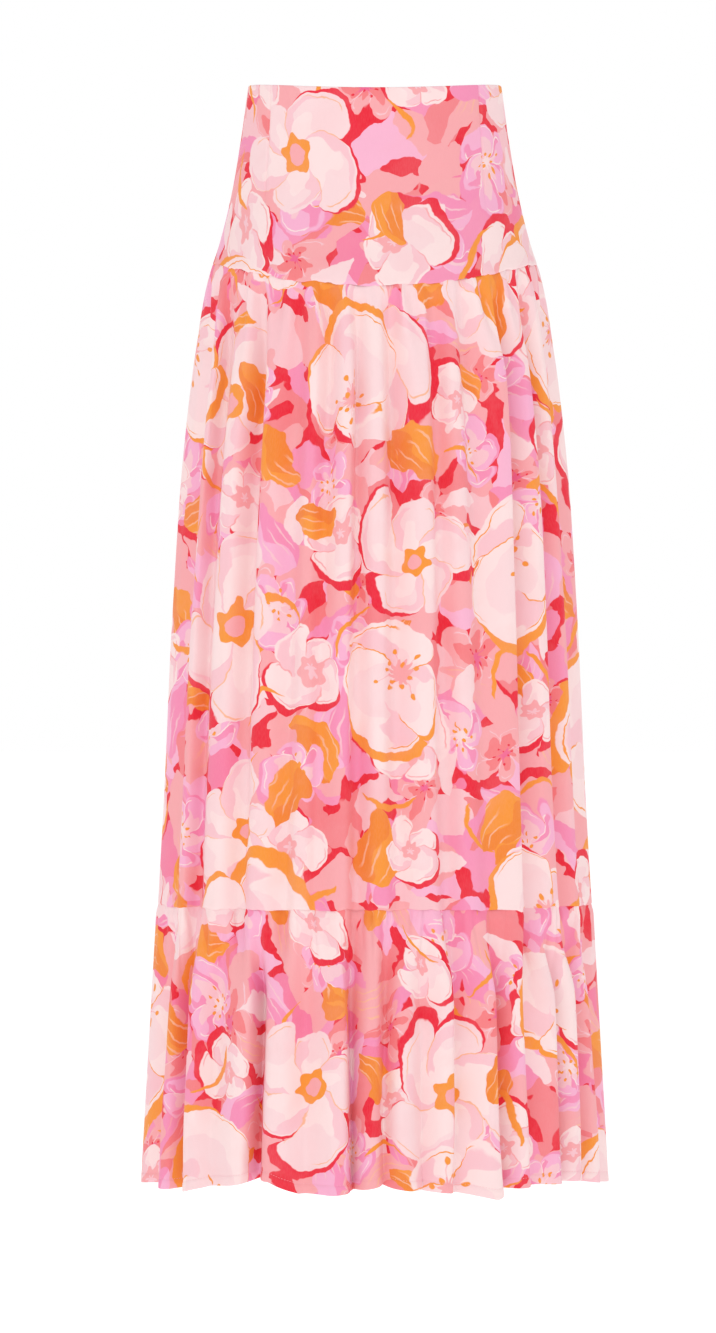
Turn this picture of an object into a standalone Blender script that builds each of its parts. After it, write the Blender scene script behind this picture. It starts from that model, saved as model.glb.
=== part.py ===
# Maxi skirt: a fitted hip yoke with a zip at centre back, and two gathered tiers below it.
# Metres, +Z up. The front faces -Y, and the origin is the middle of the waist opening.
# The skirt is modelled as it hangs when it is worn: a hollow tube of thin cloth walls.

import math

import bmesh
import bpy
import numpy as np
from mathutils import Matrix, Vector


def columns(names, rows):
    """A small table as one array for each named column."""
    return {name: np.array(values, float) for name, values in zip(names.split(), zip(*rows))}


# Driving sizes of the cloth
WALL = 0.0015
SEAM_GAP = 0.0003
WAIST_DIP = 0.008
YOKE_SIDE_DEPTH = 0.169
YOKE_FRONT_DIP = 0.026
YOKE_BACK_RISE = 0.006
TIER_SEAM_DROP = 0.776
HEM_DROP = 1.040
HEM_RIPPLE = 0.007

# Widths of cloth, all round, that each tier is cut to before it is gathered
UPPER_CUT = 1.36
LOWER_CUT = 1.76

# The outline that the crests of the folds reach, at each drop below the waist
OUTLINE = columns(
    "drop half_width half_depth shift_back",
    (
        (0.000, 0.1200, 0.0860, 0.000),
        (0.060, 0.1285, 0.0940, 0.002),
        (0.107, 0.1370, 0.1020, 0.004),
        (0.150, 0.1478, 0.1130, 0.006),
        (0.180, 0.1575, 0.1225, 0.008),
        (0.250, 0.1700, 0.1365, 0.009),
        (0.345, 0.1815, 0.1480, 0.010),
        (0.487, 0.1915, 0.1590, 0.010),
        (0.677, 0.2005, 0.1695, 0.010),
        (0.776, 0.2060, 0.1755, 0.010),
        (0.900, 0.2125, 0.1825, 0.010),
        (1.040, 0.2200, 0.1900, 0.010),
    ),
)

# The valleys between folds across the front: the angle from centre front in degrees, how far
# it drifts by the piece's lower edge, its depth near the top and the bottom as a share of the
# deepest, and how far the crest before it leans over it
FOLD_COLUMNS = "angle drift high low lean"
UPPER_FRONT = (
    (-73, 1.0, 0.50, 0.55, 0.15),
    (-61, 1.0, 0.60, 0.95, 0.50),
    (-42, 2.0, 0.95, 0.85, 0.35),
    (-26, 1.0, 0.35, 0.60, 0.00),
    (-15, -1.0, 0.65, 0.35, 0.10),
    (-6, 1.0, 0.50, 0.75, 0.25),
    (5, 1.5, 0.80, 0.60, 0.10),
    (20, 0.0, 0.40, 0.75, 0.20),
    (31, 1.0, 0.60, 0.35, 0.00),
    (46, -1.0, 0.85, 1.00, 0.55),
    (61, 1.0, 0.90, 0.75, 0.30),
    (73, 1.0, 0.45, 0.60, 0.10),
)
LOWER_FRONT = (
    (-75, 1.0, 0.50, 0.60, 0.10),
    (-63, 1.0, 0.70, 0.90, 0.38),
    (-47, 0.0, 0.60, 0.45, 0.10),
    (-33, 0.0, 0.80, 1.00, 0.50),
    (-19, 1.0, 0.50, 0.55, 0.05),
    (-7, 1.0, 0.60, 0.90, 0.40),
    (3, -1.0, 0.60, 0.50, 0.15),
    (12, 0.0, 0.40, 0.60, 0.00),
    (22, -1.0, 0.60, 0.50, 0.20),
    (33, 1.0, 0.60, 0.85, 0.40),
    (43, 1.0, 0.50, 0.40, 0.10),
    (52, -1.0, 0.80, 1.00, 0.50),
    (65, 1.0, 0.70, 0.80, 0.30),
    (76, 0.0, 0.50, 0.50, 0.10),
)
BACK_UNEVENNESS = 1.6
BACK_LEAN = 0.7
VALLEY_SHARPNESS = 1.5

# Gathers below a seam: their least pitch and depth, and how far down they run as a share of the
# piece's height. The pucker is the share of their depth that they keep in the seam itself.
GATHER_PITCH = 0.0175
GATHER_DEPTH = 0.0072
UPPER_GATHER_RUN = 0.17
LOWER_GATHER_RUN = 0.34
SEAM_PUCKER = 0.25
UPPER_PUCKER_RUN = 0.04
LOWER_PUCKER_RUN = 0.08
SIDE_SEAM_FLAT = 7.0

# Shares of a piece's height at which its rows of points lie. The narrow first and last ones
# keep the walls of two pieces in line where they meet at a seam.
YOKE_ROWS = (0.0, 0.2, 0.4, 0.6, 0.8, 0.985, 1.0)
UPPER_ROWS = (0.0, 0.004, 0.03, 0.07, 0.13, 0.21, 0.34, 0.54, 0.78, 1.0)
LOWER_ROWS = (0.0, 0.008, 0.06, 0.15, 0.29, 0.52, 1.0)
YOKE_STEP = 6.0
POINTS_PER_GATHER = 5
SEAM_COLUMN = 0.5

# Zip: the tapes behind the centre-back seam, the slider and its pull tab
ZIP_TAPE_HALF_WIDTH = 0.011
ZIP_TAPE_THICKNESS = 0.0010
ZIP_TAPE_GAP = 0.0006
ZIP_TAPE_ROWS = 9
ZIP_TOP_DROP = 0.001
ZIP_BOTTOM_DROP = 0.158
SLIDER_DROP = 0.0100
SLIDER_HEIGHT = 0.0095
SLIDER_INNER_WIDTH = 0.0075
SLIDER_INNER_THICKNESS = 0.0032
SLIDER_NECK_WIDTH = 0.0016
SLIDER_NECK_HEIGHT = 0.0060
SLIDER_PLATE_WIDTH = 0.0050
SLIDER_PLATE_THICKNESS = 0.0009
BRIDGE_WIDTH = 0.0016
BRIDGE_HEIGHT = 0.0080
BRIDGE_OPENING = 0.0018
BRIDGE_BAR = 0.0009
RUNNING_GAP = 0.0003
PULL_THICKNESS = 0.0011
PULL_WINDOW_LENGTH = 0.0055
PULL_SHAPE = columns(
    "height half_width",
    (
        (0.00055, 0.0023),
        (-0.0045, 0.0023),
        (-0.0075, 0.0026),
        (-0.0135, 0.0029),
        (-0.0190, 0.0034),
        (-0.0215, 0.0031),
        (-0.0230, 0.0022),
        (-0.0236, 0.0010),
    ),
)

CLOTH_COLOUR = (0.93, 0.55, 0.60, 1.0)
ZIP_COLOUR = (0.86, 0.50, 0.56, 1.0)
METAL_COLOUR = (0.88, 0.55, 0.60, 1.0)


def clear_scene():
    for old in list(bpy.data.objects):
        bpy.data.objects.remove(old, do_unlink=True)


def new_collection(name):
    collection = bpy.data.collections.new(name)
    bpy.context.scene.collection.children.link(collection)
    return collection


def make_material(name, colour, roughness, metallic=0.0):
    material = bpy.data.materials.new(name)
    material.use_nodes = True
    surface = material.node_tree.nodes["Principled BSDF"]
    surface.inputs["Base Color"].default_value = colour
    surface.inputs["Roughness"].default_value = roughness
    surface.inputs["Metallic"].default_value = metallic
    return material


def ease(share):
    share = np.clip(share, 0.0, 1.0)
    return share * share * (3 - 2 * share)


def outline_at(drop, name):
    """One of the outline's sizes at a drop, on a smooth curve through the table."""
    drops, sizes = OUTLINE["drop"], OUTLINE[name]
    slopes = np.gradient(sizes, drops)
    drop = np.clip(drop, drops[0], drops[-1])
    low = np.clip(np.searchsorted(drops, drop) - 1, 0, len(drops) - 2)
    span = drops[low + 1] - drops[low]
    share = (drop - drops[low]) / span
    start, end = sizes[low], sizes[low + 1]
    leave, arrive = slopes[low] * span, slopes[low + 1] * span
    return (
        start
        + leave * share
        + (3 * (end - start) - 2 * leave - arrive) * share**2
        + (2 * (start - end) + leave + arrive) * share**3
    )


# Edges of the pieces: the drop below the waist at each angle from centre front
def waist_drop(angle):
    return WAIST_DIP * np.maximum(np.cos(np.radians(angle)), 0) ** 2


def yoke_seam_drop(angle):
    facing = np.cos(np.radians(angle))
    return YOKE_SIDE_DEPTH + np.where(facing > 0, YOKE_FRONT_DIP, -YOKE_BACK_RISE) * facing**2


def tier_seam_drop(angle):
    return np.full(np.shape(angle), TIER_SEAM_DROP)


def all_round(front_rows):
    """The front's valleys and, for the hidden back, their mirror image made uneven."""
    back = [
        (180 - angle + BACK_UNEVENNESS * math.sin(1.9 * i), -drift, high, low, BACK_LEAN * lean)
        for i, (angle, drift, high, low, lean) in enumerate(reversed(front_rows))
    ]
    return columns(FOLD_COLUMNS, list(front_rows) + back)


def fold_edges(valleys, share):
    """The angles of all the valleys at a share of the height, closed up all round."""
    edges = valleys["angle"] + valleys["drift"] * share
    return np.concatenate([[edges[-1] - 360], edges, [edges[0] + 360]])


def fold_phase(angle, valleys, share):
    """The fold that an angle lies in, how far across it the angle is, and its two valleys."""
    edges = fold_edges(valleys, share)
    count = len(valleys["angle"])
    fold = np.clip(np.searchsorted(edges, angle, side="right") - 1, 0, count)
    across = (angle - edges[fold]) / (edges[fold + 1] - edges[fold])
    return fold, across, (fold - 1) % count, fold % count


def gather_counts(valleys, drop):
    """How many gathers each fold opens out of at the seam above it."""
    widths = np.diff(fold_edges(valleys, 0.0))
    radius = (outline_at(drop, "half_width") + outline_at(drop, "half_depth")) / 2
    return np.maximum(1, np.floor(np.radians(widths) * radius / GATHER_PITCH)).astype(int)


def wave(angle, valleys, share):
    """Folds of unit depth: how far out of the outline, and how far along it, a point moves."""
    _, across, before, after = fold_phase(angle, valleys, share)
    hollow = (0.5 + 0.5 * np.cos(2 * np.pi * across)) ** VALLEY_SHARPNESS
    turn = ease(across)
    depths = valleys["high"] * (1 - share) + valleys["low"] * share
    depth = depths[before] * (1 - turn) + depths[after] * turn
    return -hollow * depth, (1 - hollow) * valleys["lean"][after]


def gathers(angle, valleys, share, counts):
    """Fine gathers of unit depth, which die away beside the side seams."""
    fold, across, _, _ = fold_phase(angle, valleys, share)
    flat = ease(np.abs((angle + 180) % 180 - 90) / SIDE_SEAM_FLAT)
    return -(0.5 + 0.5 * np.cos(2 * np.pi * across * counts[fold])) * flat


def flare(turn, drop):
    """How far the outline goes out for each metre down."""
    step = 0.004
    wider = (outline_at(drop + step, "half_width") - outline_at(drop, "half_width")) / step
    deeper = (outline_at(drop + step, "half_depth") - outline_at(drop, "half_depth")) / step
    return wider * np.sin(turn) ** 2 + deeper * np.cos(turn) ** 2


def on_outline(angle, drop, outward=0.0, along=0.0):
    """A point on the outline at an angle and drop, moved square to the wall and along it."""
    turn = np.radians(angle)
    wide, deep = outline_at(drop, "half_width"), outline_at(drop, "half_depth")
    x, y = wide * np.sin(turn), -deep * np.cos(turn)
    normal_x, normal_y = np.sin(turn) / wide, -np.cos(turn) / deep
    length = np.hypot(normal_x, normal_y)
    normal_x, normal_y = normal_x / length, normal_y / length
    x = x + outward * normal_x - along * normal_y
    y = y + outward * normal_y + along * normal_x + outline_at(drop, "shift_back")
    return np.stack([x, y, -drop + outward * flare(turn, drop)], axis=-1)


UPPER_VALLEYS = all_round(UPPER_FRONT)
LOWER_VALLEYS = all_round(LOWER_FRONT)
UPPER_COUNTS = gather_counts(UPPER_VALLEYS, YOKE_SIDE_DEPTH)
LOWER_COUNTS = gather_counts(LOWER_VALLEYS, TIER_SEAM_DROP)
ROUND = np.linspace(-90, 270, 2161)


def girth(points):
    return np.linalg.norm(np.diff(points[:, :2], axis=0), axis=1).sum()


def depth_for(cut, ring):
    """The fold depth at which a ring of points is as long as the cloth is wide."""
    low, high = 0.0, 0.060
    for _ in range(26):
        middle = (low + high) / 2
        if girth(ring(middle)) < cut:
            low = middle
        else:
            high = middle
    return low


def held(share, edge, run):
    """The share of their depth that gathers and folds have, near the seam that holds them."""
    return SEAM_PUCKER + (1 - SEAM_PUCKER) * ease((share - edge) / run)


def upper_moves(angle, share, depth):
    """The upper tier's moves off the outline: gathers at the yoke seam that open into folds."""
    hold = held(share, UPPER_ROWS[1], UPPER_PUCKER_RUN)
    opened = ease(share / UPPER_GATHER_RUN)
    depth = depth * (0.15 + 0.85 * opened)
    outward, along = wave(angle, UPPER_VALLEYS, share)
    fine = GATHER_DEPTH * (1 - opened) * gathers(angle, UPPER_VALLEYS, share, UPPER_COUNTS)
    return hold * (depth * outward + fine), hold * depth * along


def lower_moves(angle, share, depth, upper_depth):
    """The lower tier's: it starts on the upper tier's last row and turns into its own folds."""
    hold = held(share, LOWER_ROWS[1], LOWER_PUCKER_RUN)
    opened = ease(share / LOWER_GATHER_RUN)
    above_out, above_along = upper_moves(angle, 1.0, upper_depth)
    own_out, own_along = wave(angle, LOWER_VALLEYS, share)
    fine = GATHER_DEPTH * (1 - opened) * gathers(angle, LOWER_VALLEYS, share, LOWER_COUNTS)
    outward = (1 - opened) * above_out + opened * depth * own_out + hold * fine
    return outward, (1 - opened) * above_along + opened * depth * own_along


def tier_drop(angle, share, top, bottom):
    return top(angle) * (1 - share) + bottom(angle) * share


def upper_ring(angle, share, depth):
    drop = tier_drop(angle, share, yoke_seam_drop, tier_seam_drop)
    return on_outline(angle, drop, *upper_moves(angle, share, depth))


UPPER_END_DEPTH = depth_for(UPPER_CUT, lambda depth: upper_ring(ROUND, 1.0, depth))


def hem_drop(angle):
    """The hem rises a little in each valley, where the cloth turns in."""
    return HEM_DROP + HEM_RIPPLE * wave(angle, LOWER_VALLEYS, 1.0)[0]


def lower_ring(angle, share, depth):
    drop = tier_drop(angle, share, tier_seam_drop, hem_drop)
    return on_outline(angle, drop, *lower_moves(angle, share, depth, UPPER_END_DEPTH))


def solved_rows(shares, ring, cut, gather_run):
    """Each row's share of the height, with the fold depth that uses up the cut's width there.
    The gathers take up what is left over nearer the seam."""
    rows = []
    for share in shares:
        depth = depth_for(cut, lambda depth: ring(ROUND, max(share, gather_run), depth))
        rows.append((share, depth))
    return rows


def column_angles(valleys, counts, start, end):
    """Angles of a panel's columns: evenly spaced within each gather, with both ends in."""
    edges = fold_edges(valleys, 0.5)
    angles = []
    for low, high, count in zip(edges, edges[1:], counts):
        angles.extend(np.linspace(low, high, count * POINTS_PER_GATHER + 1)[:-1])
    return seam_to_seam(angles, start, end)


def seam_to_seam(angles, start, end):
    """The angles inside a panel, with each of its ends and a narrow column beside it."""
    inside = [a for a in angles if start + 2.5 * SEAM_COLUMN < a < end - 2.5 * SEAM_COLUMN]
    return np.array([start, start + SEAM_COLUMN, *inside, end - SEAM_COLUMN, end])


def panel_points(angles, rows, ring, start, end, seam_top, seam_bottom):
    """A panel's grid of points, kept half a seam gap back from each edge that is sewn."""
    last = len(rows) - 1
    grid = []
    for index, (share, depth) in enumerate(rows):
        points = ring(angles, share, depth)
        for edge, inward in ((0, 1), (-1, -2)):
            step = points[inward] - points[edge]
            points[edge] += Vector(step).normalized() * (SEAM_GAP / 2)
        if index == 0 and seam_top:
            points[:, 2] -= SEAM_GAP / 2
        if index == last and seam_bottom:
            points[:, 2] += SEAM_GAP / 2
        grid.append(points)
    return grid


def cloth_wall(name, grid, material, collection, wall=WALL):
    """A panel of cloth: a grid of points from the top row down, given its thickness inwards."""
    mesh = bpy.data.meshes.new(name)
    shape = bmesh.new()
    rows = [[shape.verts.new(point) for point in row] for row in grid]
    for upper, lower in zip(rows, rows[1:]):
        for i in range(len(upper) - 1):
            shape.faces.new((upper[i], lower[i], lower[i + 1], upper[i + 1]))
    shape.to_mesh(mesh)
    shape.free()
    mesh.materials.append(material)
    panel = bpy.data.objects.new(name, mesh)
    collection.objects.link(panel)
    mesh.shade_smooth()
    thickness = panel.modifiers.new("Cloth thickness", "SOLIDIFY")
    thickness.thickness = wall
    thickness.offset = -1.0
    return panel


def make_yoke(material, collection):
    """The fitted yoke: a front, and two back halves that meet at the zip."""

    def ring(angle, share, _):
        return on_outline(angle, tier_drop(angle, share, waist_drop, yoke_seam_drop))

    pieces = []
    rows = [(share, 0.0) for share in YOKE_ROWS]
    for name, start, end in (
        ("yoke_front", -90, 90),
        ("yoke_back_left", 90, 180),
        ("yoke_back_right", 180, 270),
    ):
        angles = np.linspace(start, end, round((end - start) / YOKE_STEP) + 1)
        angles = seam_to_seam(angles, start, end)
        grid = panel_points(angles, rows, ring, start, end, False, True)
        pieces.append(cloth_wall(name, grid, material, collection))
    return pieces


def make_tiers(material, collection):
    """Two gathered tiers, each a front and a back panel sewn at the side seams."""
    upper_rows = solved_rows(UPPER_ROWS, upper_ring, UPPER_CUT, UPPER_GATHER_RUN)
    lower_rows = solved_rows(LOWER_ROWS, lower_ring, LOWER_CUT, LOWER_GATHER_RUN)
    for tier, ring, rows, valleys, counts, hemmed in (
        ("tier_upper", upper_ring, upper_rows, UPPER_VALLEYS, UPPER_COUNTS, False),
        ("tier_lower", lower_ring, lower_rows, LOWER_VALLEYS, LOWER_COUNTS, True),
    ):
        for side, start, end in (("front", -90, 90), ("back", 90, 270)):
            angles = column_angles(valleys, counts, start, end)
            grid = panel_points(angles, rows, ring, start, end, True, not hemmed)
            cloth_wall(f"{tier}_{side}", grid, material, collection)


def centre_back(drop):
    """The point on the outline at centre back, and the wall's outward tilt there."""
    point = Vector(on_outline(np.array(180.0), np.array(drop)))
    below = Vector(on_outline(np.array(180.0), np.array(drop + 0.004)))
    down = (below - point).normalized()
    return point, math.atan2(down.y, -down.z)


def make_zip_tape(material, collection):
    """The zip's tapes, closed edge to edge, on the yoke's own curve just inside its wall."""
    grid = []
    for drop in np.linspace(ZIP_TOP_DROP, ZIP_BOTTOM_DROP, ZIP_TAPE_ROWS):
        across = np.linspace(ZIP_TAPE_HALF_WIDTH, -ZIP_TAPE_HALF_WIDTH, 5)
        angles = 180 - np.degrees(np.arcsin(across / outline_at(drop, "half_width")))
        grid.append(on_outline(angles, np.full(5, drop), -WALL - ZIP_TAPE_GAP))
    return cloth_wall("zip_tape", grid, material, collection, ZIP_TAPE_THICKNESS)


def block(name, low, high, collection):
    """A box between two corners, with its size in its mesh."""
    mesh = bpy.data.meshes.new(name)
    shape = bmesh.new()
    bmesh.ops.create_cube(shape, size=1.0)
    low, high = Vector(low), Vector(high)
    size = high - low
    bmesh.ops.transform(
        shape,
        matrix=Matrix.Translation((low + high) / 2) @ Matrix.Diagonal((*size, 1.0)),
        verts=shape.verts,
    )
    shape.to_mesh(mesh)
    shape.free()
    made = bpy.data.objects.new(name, mesh)
    collection.objects.link(made)
    return made


def boolean(target, other, operation):
    step = target.modifiers.new(other.name, "BOOLEAN")
    step.operation = operation
    step.object = other
    step.solver = "EXACT"
    return step


def hide_tool(tool):
    tool.hide_render = True
    tool.display_type = "WIRE"


def make_slider(mount, material, collection, tools):
    """The slider at the top of the zip. Local axes: X across, Y out of the wall, Z up it."""
    tall, plate = SLIDER_HEIGHT / 2, SLIDER_PLATE_THICKNESS
    inside = -WALL - ZIP_TAPE_GAP
    slider = block(
        "zip_slider",
        (-SLIDER_INNER_WIDTH / 2, inside - SLIDER_INNER_THICKNESS, -tall),
        (SLIDER_INNER_WIDTH / 2, inside, tall),
        collection,
    )
    neck = block(
        "slider_neck",
        (-SLIDER_NECK_WIDTH / 2, inside - 0.001, -SLIDER_NECK_HEIGHT / 2),
        (SLIDER_NECK_WIDTH / 2, RUNNING_GAP + plate / 2, SLIDER_NECK_HEIGHT / 2),
        tools,
    )
    front = block(
        "slider_plate",
        (-SLIDER_PLATE_WIDTH / 2, RUNNING_GAP, -tall),
        (SLIDER_PLATE_WIDTH / 2, RUNNING_GAP + plate, tall),
        tools,
    )
    face = RUNNING_GAP + plate
    bridge = block(
        "slider_bridge",
        (-BRIDGE_WIDTH / 2, face - plate / 2, -BRIDGE_HEIGHT / 2),
        (BRIDGE_WIDTH / 2, face + BRIDGE_OPENING + BRIDGE_BAR, BRIDGE_HEIGHT / 2),
        tools,
    )
    opening = block(
        "bridge_opening",
        (-BRIDGE_WIDTH, face, -BRIDGE_HEIGHT / 2 + BRIDGE_BAR),
        (BRIDGE_WIDTH, face + BRIDGE_OPENING, BRIDGE_HEIGHT / 2 - BRIDGE_BAR),
        tools,
    )
    for other, operation in (
        (neck, "UNION"),
        (front, "UNION"),
        (bridge, "UNION"),
        (opening, "DIFFERENCE"),
    ):
        boolean(slider, other, operation)
        other.parent = mount
        hide_tool(other)
    slider.parent = mount
    slider.data.materials.append(material)
    return slider


def flat_plate(name, outlines, thickness, material, collection):
    """A flat piece with an outline and a window, upright, its thickness along Y."""
    curve = bpy.data.curves.new(name, "CURVE")
    curve.dimensions = "2D"
    curve.fill_mode = "BOTH"
    curve.extrude = thickness / 2
    for points in outlines:
        line = curve.splines.new("POLY")
        line.points.add(len(points) - 1)
        for point, (x, z) in zip(line.points, points):
            point.co = (x, z, 0.0, 1.0)
        line.use_cyclic_u = True
    curve.materials.append(material)
    plate = bpy.data.objects.new(name, curve)
    plate.rotation_euler = (math.pi / 2, 0.0, 0.0)
    collection.objects.link(plate)
    return plate


def make_pull(hinge, material, collection):
    """The pull tab, hanging from its bar in the slider's bridge. The hinge is the bar's axis."""
    arm_in = BRIDGE_WIDTH / 2 + RUNNING_GAP
    side = list(zip(PULL_SHAPE["half_width"], PULL_SHAPE["height"]))
    outline = side + [(-x, z) for x, z in reversed(side)]
    top, bottom = -PULL_THICKNESS / 2, -PULL_WINDOW_LENGTH
    window = [(arm_in, top), (arm_in, bottom), (-arm_in, bottom), (-arm_in, top)]
    pull = flat_plate("zip_pull", (outline, window), PULL_THICKNESS, material, collection)
    pull.parent = hinge
    return pull


def make_room(mount, halves, tape, tools):
    """A slot between the yoke's back halves for the slider's neck, and a gap in the tape."""
    half = SLIDER_NECK_WIDTH / 2 + RUNNING_GAP
    tall = SLIDER_NECK_HEIGHT / 2 + RUNNING_GAP
    slot = block("neck_slot", (-half, -0.004, -tall), (half, 0.003, tall), tools)
    for piece in halves:
        boolean(piece, slot, "DIFFERENCE")
    half = SLIDER_INNER_WIDTH / 2 + RUNNING_GAP
    tall = SLIDER_HEIGHT / 2 + RUNNING_GAP
    room = block("slider_room", (-half, -0.008, -tall), (half, 0.003, tall), tools)
    boolean(tape, room, "DIFFERENCE")
    for tool in (slot, room):
        tool.parent = mount
        hide_tool(tool)


def make_zip(halves, cloth, metal, collection, tools):
    """The zip, with the slider's frame set on the yoke's outer face at centre back."""
    tape = make_zip_tape(cloth, collection)
    middle, tilt = centre_back(SLIDER_DROP)
    mount = bpy.data.objects.new("slider_place", None)
    mount.location = middle
    mount.rotation_euler = (tilt, 0.0, 0.0)
    collection.objects.link(mount)
    hinge = bpy.data.objects.new("pull_hinge", None)
    out = RUNNING_GAP + SLIDER_PLATE_THICKNESS + BRIDGE_OPENING / 2
    hinge.location = (0.0, out, 0.0)
    hinge.parent = mount
    collection.objects.link(hinge)
    make_slider(mount, metal, collection, tools)
    make_pull(hinge, metal, collection)
    make_room(mount, halves, tape, tools)
    return hinge


def main():
    clear_scene()
    parts = new_collection("maxi_skirt")
    tools = new_collection("cutters")
    cloth = make_material("printed_cloth", CLOTH_COLOUR, 0.8)
    tape = make_material("zip_tape", ZIP_COLOUR, 0.8)
    metal = make_material("painted_zip_metal", METAL_COLOUR, 0.35)
    yoke = make_yoke(cloth, parts)
    make_tiers(cloth, parts)
    hinge = make_zip(yoke[1:], tape, metal, parts, tools)
    bpy.context.view_layer.update()
    print("pull hinge at", [round(value, 5) for value in hinge.matrix_world.translation])


main()
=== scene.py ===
import math

import bpy
import numpy as np
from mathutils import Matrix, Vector


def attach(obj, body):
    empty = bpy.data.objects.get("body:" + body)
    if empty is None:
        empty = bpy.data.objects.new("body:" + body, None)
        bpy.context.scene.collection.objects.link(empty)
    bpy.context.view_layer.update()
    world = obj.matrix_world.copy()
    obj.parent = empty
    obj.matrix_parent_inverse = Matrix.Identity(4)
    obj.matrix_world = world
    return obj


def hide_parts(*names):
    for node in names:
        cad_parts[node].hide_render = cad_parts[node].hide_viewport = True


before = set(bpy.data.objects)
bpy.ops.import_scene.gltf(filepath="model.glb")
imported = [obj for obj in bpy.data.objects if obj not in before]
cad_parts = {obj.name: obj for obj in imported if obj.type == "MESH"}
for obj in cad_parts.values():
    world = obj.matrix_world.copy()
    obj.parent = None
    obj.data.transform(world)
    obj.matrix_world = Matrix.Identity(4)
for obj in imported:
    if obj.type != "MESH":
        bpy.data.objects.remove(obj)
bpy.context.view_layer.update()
print("frame loaded with", len(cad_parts), "nodes")

# Everything is in metres, as in the frame: the skirt faces -Y and its waist is at the origin


def table(names, rows):  # each named column as one array
    return {name: np.array(values, float) for name, values in zip(names.split(), zip(*rows))}


def records(names, rows):  # each row as one dictionary
    return [dict(zip(names.split(), row)) for row in rows]


def rgb(red, green, blue):  # a screen colour as linear light
    def light(value):
        value /= 255
        return value / 12.92 if value <= 0.04045 else ((value + 0.055) / 1.055) ** 2.4

    return (light(red), light(green), light(blue), 1.0)


# the skirt's form, the same as the solids have

skirt = {
    "waistDip": 0.008,
    "yokeSideDepth": 0.169,
    "yokeFrontDip": 0.026,
    "yokeBackRise": 0.006,
    "tierSeamDrop": 0.776,
    "hemDrop": 1.040,
    "upperCut": 1.36,  # cloth all round before it is gathered
    "lowerCut": 1.76,
    "outline": table("drop halfWidth halfDepth shiftBack", (
        (0.000, 0.1200, 0.0860, 0.000),
        (0.060, 0.1285, 0.0940, 0.002),
        (0.107, 0.1370, 0.1020, 0.004),
        (0.150, 0.1478, 0.1130, 0.006),
        (0.180, 0.1575, 0.1225, 0.008),
        (0.250, 0.1700, 0.1365, 0.009),
        (0.345, 0.1815, 0.1480, 0.010),
        (0.487, 0.1915, 0.1590, 0.010),
        (0.677, 0.2005, 0.1695, 0.010),
        (0.776, 0.2060, 0.1755, 0.010),
        (0.900, 0.2125, 0.1825, 0.010),
        (1.040, 0.2200, 0.1900, 0.010),
    )),
}

# Valleys between the folds across the front: angle from centre front, its drift by the lower
# edge, depth near the top and the bottom, and how far the crest before it leans over
folds = {
    "columns": "angle drift high low lean",
    "upperFront": (
        (-73, 1.0, 0.50, 0.55, 0.15),
        (-61, 1.0, 0.60, 0.95, 0.50),
        (-42, 2.0, 0.95, 0.85, 0.35),
        (-26, 1.0, 0.35, 0.60, 0.00),
        (-15, -1.0, 0.65, 0.35, 0.10),
        (-6, 1.0, 0.50, 0.75, 0.25),
        (5, 1.5, 0.80, 0.60, 0.10),
        (20, 0.0, 0.40, 0.75, 0.20),
        (31, 1.0, 0.60, 0.35, 0.00),
        (46, -1.0, 0.85, 1.00, 0.55),
        (61, 1.0, 0.90, 0.75, 0.30),
        (73, 1.0, 0.45, 0.60, 0.10),
    ),
    "lowerFront": (
        (-75, 1.0, 0.50, 0.60, 0.10),
        (-63, 1.0, 0.70, 0.90, 0.38),
        (-47, 0.0, 0.60, 0.45, 0.10),
        (-33, 0.0, 0.80, 1.00, 0.50),
        (-19, 1.0, 0.50, 0.55, 0.05),
        (-7, 1.0, 0.60, 0.90, 0.40),
        (3, -1.0, 0.60, 0.50, 0.15),
        (12, 0.0, 0.40, 0.60, 0.00),
        (22, -1.0, 0.60, 0.50, 0.20),
        (33, 1.0, 0.60, 0.85, 0.40),
        (43, 1.0, 0.50, 0.40, 0.10),
        (52, -1.0, 0.80, 1.00, 0.50),
        (65, 1.0, 0.70, 0.80, 0.30),
        (76, 0.0, 0.50, 0.50, 0.10),
    ),
    "backUnevenness": 1.6,
    "backLean": 0.7,
    "valleySharpness": 1.5,
    "deepest": 0.060,
    "solverSteps": 20,
    "seamDepth": 0.15,  # the share of the upper folds' depth that is left at the yoke
    "gatherPitch": 0.0175,
    "gatherDepth": 0.0072,
    "upperGatherRun": 0.17,
    "lowerGatherRun": 0.34,
    "seamPucker": 0.25,
    "upperPucker": (0.004, 0.04),  # where it starts to open, and over how much of the height
    "lowerPucker": (0.008, 0.08),
    "sideSeamFlat": 7.0,
}


def ease(share):
    share = np.clip(share, 0.0, 1.0)
    return share * share * (3 - 2 * share)


def hills(u, v, seed):  # smooth random hills between -1 and 1, about one for each unit
    size = 97
    dice = np.random.default_rng(seed).random((size, size)) * 2 - 1
    u, v = np.broadcast_arrays(np.asarray(u, float), np.asarray(v, float))
    column, row = np.floor(u).astype(int), np.floor(v).astype(int)
    right, below = ease(u - column), ease(v - row)

    def blended(row):
        left, beyond = dice[row % size, column % size], dice[row % size, (column + 1) % size]
        return left * (1 - right) + beyond * right

    return blended(row) * (1 - below) + blended(row + 1) * below


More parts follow.
